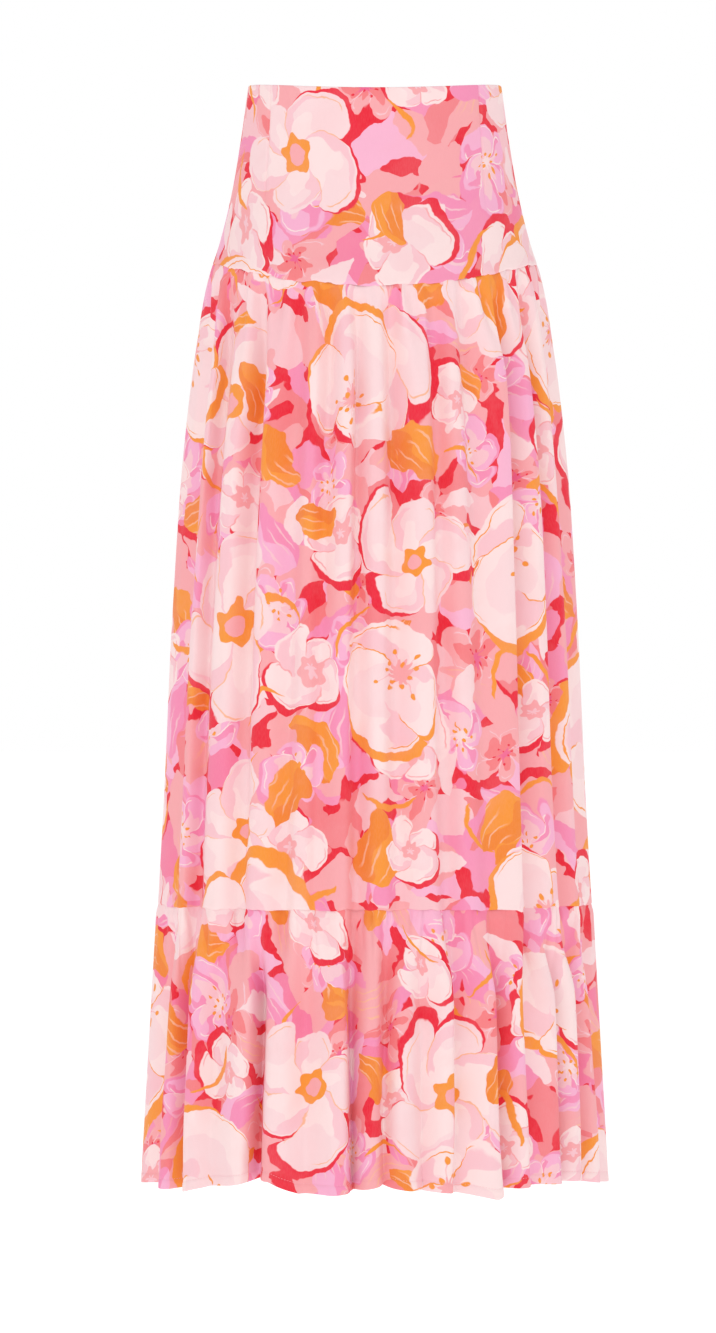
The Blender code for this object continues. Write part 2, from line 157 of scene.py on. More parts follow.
def outlineAt(drop, name):
    drops, sizes = skirt["outline"]["drop"], skirt["outline"][name]
    slopes = np.gradient(sizes, drops)
    drop = np.clip(drop, drops[0], drops[-1])
    low = np.clip(np.searchsorted(drops, drop) - 1, 0, len(drops) - 2)
    span = drops[low + 1] - drops[low]
    share = (drop - drops[low]) / span
    start, end = sizes[low], sizes[low + 1]
    leave, arrive = slopes[low] * span, slopes[low + 1] * span
    squared = (3 * (end - start) - 2 * leave - arrive) * share**2
    return start + leave * share + squared + (2 * (start - end) + leave + arrive) * share**3


def waistDrop(angle):
    return skirt["waistDip"] * np.maximum(np.cos(np.radians(angle)), 0) ** 2


def yokeSeamDrop(angle):
    facing = np.cos(np.radians(angle))
    dip = np.where(facing > 0, skirt["yokeFrontDip"], -skirt["yokeBackRise"])
    return skirt["yokeSideDepth"] + dip * facing**2


def tierSeamDrop(angle):
    return np.full(np.shape(angle), skirt["tierSeamDrop"])


def allRound(frontRows):  # the hidden back mirrors the front, a little uneven
    back = []
    for i, (angle, drift, high, low, lean) in enumerate(reversed(frontRows)):
        moved = 180 - angle + folds["backUnevenness"] * math.sin(1.9 * i)
        back.append((moved, -drift, high, low, folds["backLean"] * lean))
    return table(folds["columns"], list(frontRows) + back)


def foldEdges(valleys, share):
    edges = valleys["angle"] + valleys["drift"] * share
    return np.concatenate([[edges[-1] - 360], edges, [edges[0] + 360]])


def foldPhase(angle, valleys, share):
    edges = foldEdges(valleys, share)
    count = len(valleys["angle"])
    fold = np.clip(np.searchsorted(edges, angle, side="right") - 1, 0, count)
    across = (angle - edges[fold]) / (edges[fold + 1] - edges[fold])
    return fold, across, (fold - 1) % count, fold % count


def gatherCounts(valleys, drop):
    widths = np.diff(foldEdges(valleys, 0.0))
    radius = (outlineAt(drop, "halfWidth") + outlineAt(drop, "halfDepth")) / 2
    return np.maximum(1, np.floor(np.radians(widths) * radius / folds["gatherPitch"])).astype(int)


def wave(angle, valleys, share):  # how far in, and how far along, folds of unit depth move it
    _, across, before, after = foldPhase(angle, valleys, share)
    hollow = (0.5 + 0.5 * np.cos(2 * np.pi * across)) ** folds["valleySharpness"]
    turn = ease(across)
    depths = valleys["high"] * (1 - share) + valleys["low"] * share
    depth = depths[before] * (1 - turn) + depths[after] * turn
    return -hollow * depth, (1 - hollow) * valleys["lean"][after]


def flatAtSides(angle):
    return ease(np.abs((angle + 180) % 180 - 90) / folds["sideSeamFlat"])


def gathers(angle, valleys, share, counts):  # uneven here, as drawn-up cloth is
    fold, across, _, _ = foldPhase(angle, valleys, share)
    uneven = 0.70 + 0.30 * hills(angle / 5.5, share * 6, 61)
    return -(0.5 + 0.5 * np.cos(2 * np.pi * across * counts[fold])) * flatAtSides(angle) * uneven


def flare(turn, drop):
    step = 0.004
    wider = (outlineAt(drop + step, "halfWidth") - outlineAt(drop, "halfWidth")) / step
    deeper = (outlineAt(drop + step, "halfDepth") - outlineAt(drop, "halfDepth")) / step
    return wider * np.sin(turn) ** 2 + deeper * np.cos(turn) ** 2


def onOutline(angle, drop, outward=0.0, along=0.0):
    turn = np.radians(angle)
    wide, deep = outlineAt(drop, "halfWidth"), outlineAt(drop, "halfDepth")
    x, y = wide * np.sin(turn), -deep * np.cos(turn)
    normalX, normalY = np.sin(turn) / wide, -np.cos(turn) / deep
    length = np.hypot(normalX, normalY)
    normalX, normalY = normalX / length, normalY / length
    x = x + outward * normalX - along * normalY
    y = y + outward * normalY + along * normalX + outlineAt(drop, "shiftBack")
    return np.stack([x, y, -drop + outward * flare(turn, drop)], axis=-1)


upperValleys = allRound(folds["upperFront"])
lowerValleys = allRound(folds["lowerFront"])
upperCounts = gatherCounts(upperValleys, skirt["yokeSideDepth"])
lowerCounts = gatherCounts(lowerValleys, skirt["tierSeamDrop"])
roundAngles = np.linspace(-90, 270, 2161)


def depthFor(cut, ring):  # the fold depth at which a ring is as long as the cloth is wide
    low, high = 0.0, folds["deepest"]
    for _ in range(folds["solverSteps"]):
        middle = (low + high) / 2
        points = ring(middle)
        if np.linalg.norm(np.diff(points[:, :2], axis=0), axis=1).sum() < cut:
            low = middle
        else:
            high = middle
    return low


def held(share, edge, run):
    return folds["seamPucker"] + (1 - folds["seamPucker"]) * ease((share - edge) / run)


def tierDrop(angle, share, top, bottom):
    return top(angle) * (1 - share) + bottom(angle) * share


# what the solids leave to the cloth itself: fine pleats, soft ripples, turned edges

cloth = {
    "wall": 0.0007,
    "yokeWall": 0.0009,
    "seamGap": 0.00006,
    "turnIn": 0.0007,  # how far a sewn edge dips into its seam
    "turnWidth": 0.0016,
    "softTurn": 0.0004,  # the tier seam's upper edge lies flatter
    "tuck": 0.0013,  # a gathered edge goes this far under the edge above it
    "tuckWidth": 0.0022,
    "tuckRise": 0.0018,
    "seamWave": 0.0012,  # the gathers pull the seam up and down a little
    "seamWaveRun": 0.02,
    "pleatPitch": 0.0068,
    "pleatDepth": 0.0013,
    "pleatRun": 0.055,
    "pleatStart": 0.004,
    # the lower tier is drawn up harder: creases that start in the seam itself
    "creasePitch": 0.0125,
    "creaseDepth": 0.0027,
    "creaseRun": 0.085,
    "creaseStart": 0.0025,
    "lowerPuff": 0.0014,  # it stands out below its seam, and a little more at the hem
    "puffRise": 0.009,
    "hemFlare": 0.0008,
    "ripplePitch": 0.040,
    "rippleDepth": 0.0016,
    "rippleStart": 0.05,
    # the seam below draws the upper tier's lower edge in
    "drawnPitch": 0.008,
    "drawnDepth": 0.0005,
    "drawnRun": 0.03,
    "drawnStart": 0.003,
    "calmRun": 0.02,
    # the hem: its turn-up stands out, its stitches dip and its edge is rounded
    "hemWidth": 0.009,
    "hemStep": 0.00035,
    "hemDip": 0.00045,
    "hemRound": 0.00030,
    "hemFine": 0.0008,
    "hemPucker": 0.00035,
    "hemPuckerPitch": 0.0055,
    "hemFlutter": 0.0022,
    "hemFlutterPitch": 0.030,
    "hemRipple": 0.0035,  # the valleys of the folds lift the hem
    # rows of points at the hem, in hem widths above its edge
    "hemRows": (1.40, 1.25, 1.12, 1.04, 0.96, 0.88, 0.70, 0.45, 0.22, 0.09, 0.03, 0.0),
    # how far the hem hangs below its even line across the front, read from the photograph
    "hemUneven": table("angle lower", (
        (-90, 0.0000), (-76, -0.0010), (-66, 0.0010), (-57, 0.0020), (-48, -0.0035),
        (-40, -0.0080), (-33, -0.0120), (-27, -0.0120), (-20, 0.0000), (-13, -0.0005),
        (-6, -0.0035), (1, -0.0100), (8, -0.0050), (15, -0.0030), (21, -0.0015),
        (28, 0.0050), (34, -0.0035), (41, -0.0055), (50, -0.0070), (60, -0.0080),
        (72, -0.0030), (90, 0.0000),
    )),
    "hemUnevenBack": 0.0055,
}


def pleats(angle, down, cut, seed):  # fine pleats below a gathered seam, some long, some short
    along = angle / 360 * cut
    run = cloth["pleatRun"] * (1 + 0.75 * hills(along / 0.019, 0.0, seed + 1))
    fine = hills(along / cloth["pleatPitch"], down / 0.15, seed)
    finer = hills(along / (cloth["pleatPitch"] * 0.55), down / 0.05, seed + 2)
    depth = cloth["pleatDepth"] * ease(1 - down / run) ** 0.7
    start = ease(down / cloth["pleatStart"])
    return depth * (fine + 0.35 * finer - 0.4) * start * flatAtSides(angle)


def creases(angle, down, cut, seed):  # broad crests with sharp valleys between them
    along = angle / 360 * cut
    run = cloth["creaseRun"] * (1 + 0.6 * hills(along / 0.023, 0.0, seed + 1))
    valley = (1 - np.abs(hills(along / cloth["creasePitch"], down / 0.35, seed))) ** 3
    fade = ease(1 - down / run) * ease(down / cloth["creaseStart"])
    return -cloth["creaseDepth"] * valley * fade * flatAtSides(angle)


def ripples(angle, down, cut, seed):  # long soft unevenness of hanging cloth
    along = angle / 360 * cut
    wide = hills(along / cloth["ripplePitch"], down / 0.22, seed)
    narrow = hills(along / (cloth["ripplePitch"] * 0.45), down / 0.13, seed + 1)
    start = ease(down / cloth["rippleStart"])
    return cloth["rippleDepth"] * (wide + 0.4 * narrow - 0.3) * start * flatAtSides(angle)


def upperMoves(angle, share, depth):
    hold = held(share, *folds["upperPucker"])
    opened = ease(share / folds["upperGatherRun"])
    depth = depth * (folds["seamDepth"] + (1 - folds["seamDepth"]) * opened)
    outward, along = wave(angle, upperValleys, share)
    fine = folds["gatherDepth"] * (1 - opened) * gathers(angle, upperValleys, share, upperCounts)
    return hold * (depth * outward + fine), hold * depth * along


def upperRing(angle, share, depth):
    drop = tierDrop(angle, share, yokeSeamDrop, tierSeamDrop)
    return onOutline(angle, drop, *upperMoves(angle, share, depth))


upperEndDepth = depthFor(skirt["upperCut"], lambda depth: upperRing(roundAngles, 1.0, depth))


def lowerMoves(angle, share, depth):
    hold = held(share, *folds["lowerPucker"])
    opened = ease(share / folds["lowerGatherRun"])
    aboveOut, aboveAlong = upperMoves(angle, 1.0, upperEndDepth)
    ownOut, ownAlong = wave(angle, lowerValleys, share)
    fine = folds["gatherDepth"] * (1 - opened) * gathers(angle, lowerValleys, share, lowerCounts)
    outward = (1 - opened) * aboveOut + opened * depth * ownOut + hold * fine
    return outward, (1 - opened) * aboveAlong + opened * depth * ownAlong


def hemDrop(angle):
    even = skirt["hemDrop"] + cloth["hemRipple"] * wave(angle, lowerValleys, 1.0)[0]
    front = np.interp(angle, cloth["hemUneven"]["angle"], cloth["hemUneven"]["lower"])
    back = cloth["hemUnevenBack"] * hills(angle / 13, 0.0, 91) * ease((angle - 90) / 12)
    return even + np.where(angle <= 90, front, back * ease((270 - angle) / 12))


def lowerRing(angle, share, depth):
    drop = tierDrop(angle, share, tierSeamDrop, hemDrop)
    return onOutline(angle, drop, *lowerMoves(angle, share, depth))


def solvedDepths(shares, ring, cut, gatherRun):
    found = []
    for share in shares:
        at = max(share, gatherRun)
        found.append(depthFor(cut, lambda depth: ring(roundAngles, at, depth)))
    return found


def evenAngles(ring, start, end, count):  # columns the same distance apart along the cloth
    dense = np.linspace(start, end, 4001)
    points = ring(dense)
    along = np.concatenate([[0], np.cumsum(np.linalg.norm(np.diff(points, axis=0), axis=1))])
    return np.interp(np.linspace(0, along[-1], count), along, dense)


def withEdges(values, start, end, steps):  # adds narrow steps beside both ends
    inside = [v for v in values if start + 2 * steps[-1] < v < end - 2 * steps[-1]]
    first = [start + step for step in (0, *steps)]
    last = [end - step for step in (*reversed(steps), 0)]
    return np.array(first + inside + last)


def seamWave(angle, distance, seed):
    pull = hills(angle / 4.1, 0.0, seed) + 0.5 * hills(angle / 1.7, 0.0, seed + 1)
    fade = ease(1 - distance / cloth["seamWaveRun"])
    return cloth["seamWave"] * pull * flatAtSides(angle) * fade


def fromEdge(distance, reach, depth):  # a sewn edge rolls into the seam
    return -depth * np.clip(1 - distance / reach, 0, 1) ** 2


def seamEdge(distance):
    return fromEdge(distance, cloth["turnWidth"], cloth["turnIn"])


def newObject(name, data):
    made = bpy.data.objects.new(name, data)
    bpy.context.scene.collection.objects.link(made)
    return made


def newPiece(name, vertices, faces, edges=()):
    mesh = bpy.data.meshes.new(name)
    mesh.from_pydata(vertices, edges, faces)
    return newObject(name, mesh)


def standFor(piece, node, wall):  # a thin shell, thickened inwards, in a solid's place
    piece.data.shade_smooth()
    shell = piece.modifiers.new("cloth thickness", "SOLIDIFY")
    shell.thickness, shell.offset = wall, -1.0
    shell.material_offset = len(piece.data.materials) - 1  # the reverse has its own material
    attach(piece, "skirt")
    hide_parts(node)


def cornersOf(grid):  # the corners of each face, in order round it
    return np.stack((grid[:-1, :-1], grid[1:, :-1], grid[1:, 1:], grid[:-1, 1:]), axis=2)


def gridFaces(grid, first=0):
    rows, columns = grid.shape[:2]
    index = np.arange(rows * columns).reshape(rows, columns) + first
    return cornersOf(index).reshape(-1, 4).tolist()


def clothPiece(node, grid, uv, extraU, splitColumn, wall, materials):
    # grid is rows x columns x 3 from the top down; extraU shifts the print past splitColumn
    piece = newPiece(node + "_cloth", grid.reshape(-1, 3).tolist(), gridFaces(grid))
    past = (np.arange(grid.shape[1] - 1) >= splitColumn)[None, :, None]
    extra = cornersOf(extraU[:, None] + 0 * uv[..., 0])
    flat = np.stack([cornersOf(uv[..., 0]) + extra * past, cornersOf(uv[..., 1])], axis=-1)
    layer = piece.data.uv_layers.new(name="cloth")
    layer.data.foreach_set("uv", flat.astype(np.float32).ravel())
    for material in materials:
        piece.data.materials.append(material)
    standFor(piece, node, wall)
    return piece


def lengths(grid):  # distance along each row from its start
    steps = np.linalg.norm(np.diff(grid, axis=1), axis=2)
    return np.concatenate([np.zeros((len(grid), 1)), np.cumsum(steps, axis=1)], axis=1)


def normalsOf(grid):
    normal = np.cross(np.gradient(grid, axis=0), np.gradient(grid, axis=1))
    return normal / np.linalg.norm(normal, axis=2, keepdims=True)


def squareOut(grid, outward):  # moves a grid of points along its own normals
    return grid + normalsOf(grid) * outward[..., None]


def surfaceArea(grid):
    across = grid[:-1, 1:] - grid[:-1, :-1]
    down = grid[1:, :-1] - grid[:-1, :-1]
    return np.linalg.norm(np.cross(across, down), axis=2).sum()


yoke = {
    "columnsPerDegree": 1.0,
    "rows": 64,
    "edgeRows": (0.0015, 0.0035, 0.0065, 0.011),
    "edgeColumns": (0.10, 0.30, 0.55, 0.95),
    "waistTurn": (0.0012, 0.0005),  # how wide and how far the waist edge rolls in
    "dartTopAngle": 54.5,
    "dartEndAngle": 48.0,
    "dartEndDrop": 0.128,
    "dartIntake": 0.011,
    "dartDepth": 0.0011,
    "dartWidth": 0.0016,
    "dartColumns": (0, 0.18, 0.36, 0.55, 0.8, 1.2, 1.8),
    "dartRadius": 0.135,
    "dartBulge": (0.0009, 0.014, 0.018, 0.008),  # height, half width and tallness, how far below
    "zipPart": 0.00115,  # how far the back halves part for the slider's neck
    "zipPartStart": 0.008,
    "zipPartEnd": 0.024,
    "zipPartWidth": 0.02,
    "creaseDepth": 0.0005,
    "tugDepth": 0.0007,  # the gathers pull on the seam
    "tugRun": 0.022,
    "panels": (
        ("yoke_front", -90.0, 90.0, (0.37, 0.11)),
        ("yoke_back_left", 90.0, 180.0, (1.23, 0.46)),
        ("yoke_back_right", 180.0, 270.0, (1.71, 0.83)),
    ),
}


def dartAngle(drop):
    share = np.clip(drop / yoke["dartEndDrop"], 0, 1.15)
    return yoke["dartTopAngle"] + (yoke["dartEndAngle"] - yoke["dartTopAngle"]) * share


def yokeRelief(angles, along, down, fromSeam):
    outward = fromEdge(down, *yoke["waistTurn"]) + seamEdge(fromSeam)
    outward = outward + seamEdge(along) + seamEdge(along[:, -1:] - along)
    cover = flatAtSides(np.broadcast_to(angles, along.shape))
    soft = hills(angles[None, :] / 14, down / 0.020, 51)
    soft = soft + 0.5 * hills(angles[None, :] / 5, down / 0.045, 52)
    outward += yoke["creaseDepth"] * soft * ease(down / 0.02) * cover
    tug = hills(angles[None, :] / 2.6, down / 0.03, 53) * cover
    tug = yoke["tugDepth"] * tug * ease(1 - fromSeam / yoke["tugRun"])
    return outward + tug * ease(fromSeam / 0.003)


def dartRelief(angles, drops, middle):
    across = (np.abs(angles) - middle)[None, :] * np.radians(1) * yoke["dartRadius"]
    fade = ease((yoke["dartEndDrop"] - drops) / 0.03)
    crease = yoke["dartDepth"] * np.exp(-((across / yoke["dartWidth"]) ** 2)) * fade
    height, wide, tall, below = yoke["dartBulge"]
    lower = (drops - yoke["dartEndDrop"] - below) / tall
    return height * np.exp(-((across / wide) ** 2) - lower**2), crease


def yokePanel(name, start, end, offset, materials):
    rows = withEdges(np.linspace(0, 1, yoke["rows"]), 0, 1, yoke["edgeRows"])
    angles = np.linspace(start, end, int((end - start) * yoke["columnsPerDegree"]) + 1)
    angles = withEdges(angles, start, end, yoke["edgeColumns"])
    front = name == "yoke_front"
    middle = (yoke["dartTopAngle"] + yoke["dartEndAngle"]) / 2
    if front:  # a column on each dart, with narrow ones beside it
        beside = np.array(yoke["dartColumns"])
        near = np.concatenate([-beside[:0:-1], beside])
        keep = np.abs(np.abs(angles) - middle) > 2.4
        angles = np.sort(np.concatenate([angles[keep], middle + near, -middle + near]))
    grid = []
    for share in rows:
        bent = angles
        drop = tierDrop(bent, share, waistDrop, yokeSeamDrop)
        if front:  # the columns near a dart follow it
            follow = ease(1 - np.abs(np.abs(angles) - middle) / 30)
            bent = angles + np.sign(angles) * (dartAngle(drop) - middle) * follow
            drop = tierDrop(bent, share, waistDrop, yokeSeamDrop)
        grid.append(onOutline(bent, drop))
    grid = np.array(grid)
    drops = -grid[..., 2]
    along = lengths(grid)
    height = skirt["yokeSideDepth"]
    down = rows[:, None] * height + 0 * along
    outward = yokeRelief(angles, along, down, height - down)
    if front:
        bulge, crease = dartRelief(angles, drops, middle)
        outward = outward - crease + bulge
    grid[..., 2] += seamWave(np.broadcast_to(angles, along.shape), height - down, 71)
    grid = squareOut(grid, outward)
    if not front:  # the halves part a little for the slider; the left half lies on +X
        left = end == 180
        middleColumn, side = (-1, 1) if left else (0, -1)
        reach = yoke["zipPartEnd"] - yoke["zipPartStart"]
        lens = ease(1 - (drops[:, middleColumn] - yoke["zipPartStart"]) / reach)
        span = along[:, -1:] - along if left else along
        near = ease(1 - span / yoke["zipPartWidth"])
        grid[..., 0] += side * near * (yoke["zipPart"] * lens + cloth["seamGap"])[:, None]
    along = lengths(grid)
    u = along - along[:, -1:] / 2
    extraU, splitColumn = np.zeros(len(rows)), len(angles)
    if front:  # the print is cut away where a dart takes cloth in
        left = np.clip(1 - drops.mean(axis=1) / yoke["dartEndDrop"], 0, 1)
        extraU = yoke["dartIntake"] * left
        splitColumn = int(np.argmin(np.abs(angles - middle)))
        u[:, : int(np.argmin(np.abs(angles + middle)))] -= extraU[:, None]
    uv = np.stack([u + offset[0], -drops + offset[1]], axis=-1)
    piece = clothPiece(name, grid, uv, extraU, splitColumn, cloth["yokeWall"], materials)
    area = float(surfaceArea(grid))


tiers = {
    "topFine": 0.62,  # rows crowd towards the gathered seam
    "edgeRows": (0.0004, 0.0011, 0.0022),
    "edgeColumns": (0.08, 0.24, 0.50),
    "evenedAt": 0.45,  # the share of the height at which the columns are evenly spaced
    "upper": {
        "columns": 460,
        "rows": 72,
        "ring": upperRing,
        "cut": skirt["upperCut"],
        "gatherRun": folds["upperGatherRun"],
        "edges": (yokeSeamDrop, tierSeamDrop),
        "height": skirt["tierSeamDrop"] - skirt["yokeSideDepth"],
        "topSeamSeed": 71,
    },
    "lower": {
        "columns": 500,
        "rows": 52,
        "ring": lowerRing,
        "cut": skirt["lowerCut"],
        "gatherRun": folds["lowerGatherRun"],
        "edges": (tierSeamDrop, hemDrop),
        "height": skirt["hemDrop"] - skirt["tierSeamDrop"],
        "topSeamSeed": 81,
    },
    # name, tier, first and last angle, place on the print, seed
    "panels": (
        ("tier_upper_front", "upper", -90.0, 90.0, (2.15, 1.31), 11),
        ("tier_upper_back", "upper", 90.0, 270.0, (3.05, 1.87), 21),
        ("tier_lower_front", "lower", -90.0, 90.0, (4.41, 2.23), 31),
        ("tier_lower_back", "lower", 90.0, 270.0, (5.62, 2.71), 41),
    ),
}


def tierRows(count, height, hemmed):
    even = np.linspace(0, 1, count)
    crowded = (1 - tiers["topFine"]) * even + tiers["topFine"] * even**2
    rows = withEdges(crowded, 0, 1, tuple(step / height for step in tiers["edgeRows"]))
    if hemmed:  # rows for the hem's edge and the dip at its stitches
        hem = cloth["hemWidth"] / height
        rows = [r for r in rows if r < 1 - 1.45 * hem]
        rows += [1 - hem * k for k in cloth["hemRows"]]
    return np.array(rows)


def hemRelief(wide, up, cut, seed):
    along, fine = wide / 360 * cut, cloth["hemFine"]
    flutter = hills(along / cloth["hemFlutterPitch"], up / 0.08, seed + 9) * ease(1 - up / 0.14)
    pucker = hills(along / cloth["hemPuckerPitch"], up / 0.02, seed + 10) * ease(1 - up / 0.015)
    uneven = (cloth["hemFlutter"] * flutter + cloth["hemPucker"] * pucker) * flatAtSides(wide)
    hem = cloth["hemWidth"]
    step = cloth["hemStep"] * ease((hem * 1.1 - up) / 0.001)
    dip = cloth["hemDip"] * np.exp(-(((up - hem) / fine) ** 2))
    return uneven + step - dip - cloth["hemRound"] * np.clip(1 - up / fine, 0, 1)


def tierPanel(name, tier, start, end, offset, seed, materials):
    form, upper = tiers[tier], tier == "upper"
    ring, cut, height = form["ring"], form["cut"], form["height"]
    top, bottom = form["edges"]
    rows = tierRows(form["rows"], height, not upper)
    known = np.linspace(0, 1, 13)
    depths = np.interp(rows, known, solvedDepths(known, ring, cut, form["gatherRun"]))
    at = tiers["evenedAt"]
    middleDepth = float(np.interp(at, rows, depths))
    angles = evenAngles(lambda a: ring(a, at, middleDepth), start, end, form["columns"])
    angles = withEdges(angles, start, end, tiers["edgeColumns"])
    grid = np.array([ring(angles, share, depth) for share, depth in zip(rows, depths)])
    drop = np.array([tierDrop(angles, share, top, bottom) for share in rows])
    down = drop - top(angles)[None, :]
    up = bottom(angles)[None, :] - drop
    wide = np.broadcast_to(angles, drop.shape)
    along = lengths(grid)
    outward = pleats(wide, down, cut, seed) + ripples(wide, down, cut, seed + 5)
    outward += fromEdge(down, cloth["tuckWidth"], cloth["tuck"])
    outward += seamEdge(along)
    outward += seamEdge(along[:, -1:] - along)
    grid[..., 2] += cloth["tuckRise"] * np.clip(1 - down / cloth["tuckWidth"], 0, 1)
    grid[..., 2] += seamWave(wide, down, form["topSeamSeed"])
    if upper:
        grid[..., 2] += seamWave(wide, up, tiers["lower"]["topSeamSeed"])
        outward *= ease(up / cloth["calmRun"]) * 0.7 + 0.3
        drawn = hills(wide / 360 * cut / cloth["drawnPitch"], up / 0.05, seed + 9)
        drawn = cloth["drawnDepth"] * drawn * ease(1 - up / cloth["drawnRun"])
        outward += drawn * ease(up / cloth["drawnStart"])
        outward += fromEdge(up, cloth["turnWidth"], cloth["softTurn"])
    else:
        outward += creases(wide, down, cut, seed + 11)
        outward += cloth["lowerPuff"] * ease(down / cloth["puffRise"])
        outward += cloth["hemFlare"] * ease(down / height)
        outward += hemRelief(wide, up, cut, seed)
    grid = squareOut(grid, outward)
    along = lengths(grid)
    u = (along / along[:, -1:] - 0.5) * (cut / 2)
    uv = np.stack([u + offset[0], -drop + offset[1]], axis=-1)
    unsplit = np.zeros(len(rows))
    piece = clothPiece(name, grid, uv, unsplit, len(angles), cloth["wall"], materials)
    cut / 2
    print(name, "made with", len(piece.data.polygons), "faces")
    return grid, up


class Num:  # a number that changes over the surface
    def __init__(self, paint, socket):
        self.paint, self.socket = paint, socket

    def __add__(self, other):
        return self.paint.maths("ADD", self, other)

    def __sub__(self, other):
        return self.paint.maths("SUBTRACT", self, other)

    def __rsub__(self, other):
        return self.paint.maths("SUBTRACT", other, self)

    def __mul__(self, other):
        return self.paint.maths("MULTIPLY", self, other)

    def __truediv__(self, other):
        return self.paint.maths("DIVIDE", self, other)

    def __pow__(self, other):
        return self.paint.maths("POWER", self, other)

    def __abs__(self):
        return self.paint.maths("ABSOLUTE", self)

    __radd__, __rmul__ = __add__, __mul__


class Web:  # a node tree; node makes a node, joins its sockets and gives its outputs
    def __init__(self, tree):
        self.tree = tree

    def node(self, kind, settings=None, *first, **others):
        # the first sockets in order, then others by name, or by number where names repeat
        made = self.tree.nodes.new(kind)
        for name, value in (settings or {}).items():
            if name == "stops":
                ramp = made.color_ramp
                ramp.interpolation = "CONSTANT"
                for index, (place, colour) in enumerate(value):
                    stop = ramp.elements[index] if index < 2 else ramp.elements.new(place)
                    stop.position, stop.color = place, colour
            else:
                setattr(made, name, value)
        sockets = dict(enumerate(first))
        for name, value in others.items():
            sockets[int(name[2:]) if name.startswith("at") else name] = value
        for key, value in sockets.items():
            self.feed(made.inputs[key], value)
        return made.outputs

    def feed(self, socket, value):
        if isinstance(value, Num):
            value = value.socket
        if isinstance(value, bpy.types.NodeSocket):
            self.tree.links.new(value, socket)
        else:
            socket.default_value = value


class Paint(Web):  # one material and what is wired into it
    def __init__(self, name, **look):
        self.material = bpy.data.materials.new(name)
        self.material.use_nodes = True
        super().__init__(self.material.node_tree)
        self.surface = self.tree.nodes["Principled BSDF"]
        for socket, value in look.items():
            self.surface.inputs[socket.replace("_", " ")].default_value = value

    def wear(self, socket, value):  # into the surface itself
        self.feed(self.surface.inputs[socket], value)

    def maths(self, kind, *values):
        return Num(self, self.node("ShaderNodeMath", {"operation": kind}, *values)[0])

    def sine(self, value):
        return self.maths("SINE", value)

    def vectors(self, kind, *values, **named):
        return self.node("ShaderNodeVectorMath", {"operation": kind}, *values, **named)[0]

    def length(self, vector):
        return Num(self, self.node("ShaderNodeVectorMath", {"operation": "LENGTH"}, vector)[1])

    def split(self, vector):
        return [Num(self, part) for part in self.node("ShaderNodeSeparateXYZ", None, vector)]

    def join(self, x, y):
        return self.node("ShaderNodeCombineXYZ", None, x, y)[0]

    def step(self, value, low, high, start=0.0, end=1.0):  # a soft step from low to high
        soft = {"interpolation_type": "SMOOTHSTEP"}
        return Num(self, self.node("ShaderNodeMapRange", soft, value, low, high, start, end)[0])

    def mix(self, share, first, second):
        return self.node("ShaderNodeMix", {"data_type": "RGBA"}, share, at6=first, at7=second)[2]

    def place(self):
        return self.node("ShaderNodeTexCoord")["Object"]

    def noise(self, vector, scale, detail=2.0, kind="2D"):
        sockets = {"Vector": vector, "Scale": scale, "Detail": detail}
        made = self.node("ShaderNodeTexNoise", {"noise_dimensions": kind}, **sockets)
        return Num(self, made[0]), made[1]

    def bump(self, height, distance, strength=1.0, under=None):
        sockets = {"Height": height, "Distance": distance, "Strength": strength}
        if under is not None:
            sockets["Normal"] = under
        return self.node("ShaderNodeBump", **sockets)[0]


# the print is layers of generic blossoms and leaves on patches of colour

printed = {
    "white": rgb(254, 226, 225),
    "blush": rgb(252, 218, 220),
    "palePink": rgb(251, 200, 208),
    "lilac": rgb(250, 178, 210),
    "pink": rgb(248, 144, 184),
    "deepPink": rgb(243, 100, 146),
    "salmon": rgb(250, 170, 174),
    "coral": rgb(247, 126, 130),
    "crimson": rgb(238, 8, 50),
    "orange": rgb(250, 150, 44),
    "amber": rgb(245, 134, 38),
    "peach": rgb(252, 186, 150),
    "ground": rgb(237, 6, 46),
    "patches": (
        (0.00, rgb(249, 148, 184)),
        (0.14, rgb(251, 182, 210)),
        (0.22, rgb(250, 168, 173)),
        (0.57, rgb(248, 128, 164)),
        (0.68, rgb(251, 196, 202)),
        (0.78, rgb(246, 132, 138)),
    ),
    "patchSize": 0.046,
    "patchWander": (0.016, 15.0),
    # depth and scale of the uneven brush edge
    "wander": ((0.0120, 14.0), (0.0042, 42.0), (0.0012, 140.0)),
    "soft": 0.0006,
    "jitter": 0.34,  # how far a motif strays in its cell, as a share of the cell
    "washScale": 26.0,
    "washDepth": 0.10,
}
# turn: of the whole lattice in degrees; missing: the share of empty places
motifs = records("kind spacing turn missing place", (
    ("coralSweep", 0.118, 71, 0.15, (0.21, 0.48, 53.0)),
    ("salmonPetal", 0.074, 63, 0.25, (0.71, 0.28, 41.0)),
    ("salmonSweep", 0.126, -52, 0.10, (0.66, 0.14, 59.0)),
    ("leaf", 0.122, 24, 0.20, (0.31, 0.12, 3.0)),
    ("star", 0.112, -17, 0.20, (0.20, 0.70, 11.0)),
    ("orangeLeaf", 0.122, -38, 0.20, (0.62, 0.40, 5.0)),
    ("palePetal", 0.082, -71, 0.55, (0.13, 0.61, 43.0)),
    ("lilacBlossom", 0.124, 33, 0.25, (0.45, 0.05, 17.0)),
    ("smallBlossom", 0.142, 8, 0.15, (0.83, 0.36, 23.0)),
    ("stroke", 0.088, 14, 0.35, (0.37, 0.77, 47.0)),
    ("ringBlossom", 0.218, -11, 0.20, (0.05, 0.52, 31.0)),
    ("orangeLeaf", 0.172, 52, 0.30, (0.15, 0.90, 7.0)),
    ("cupBlossom", 0.236, 41, 0.26, (0.55, 0.22, 37.0)),
))
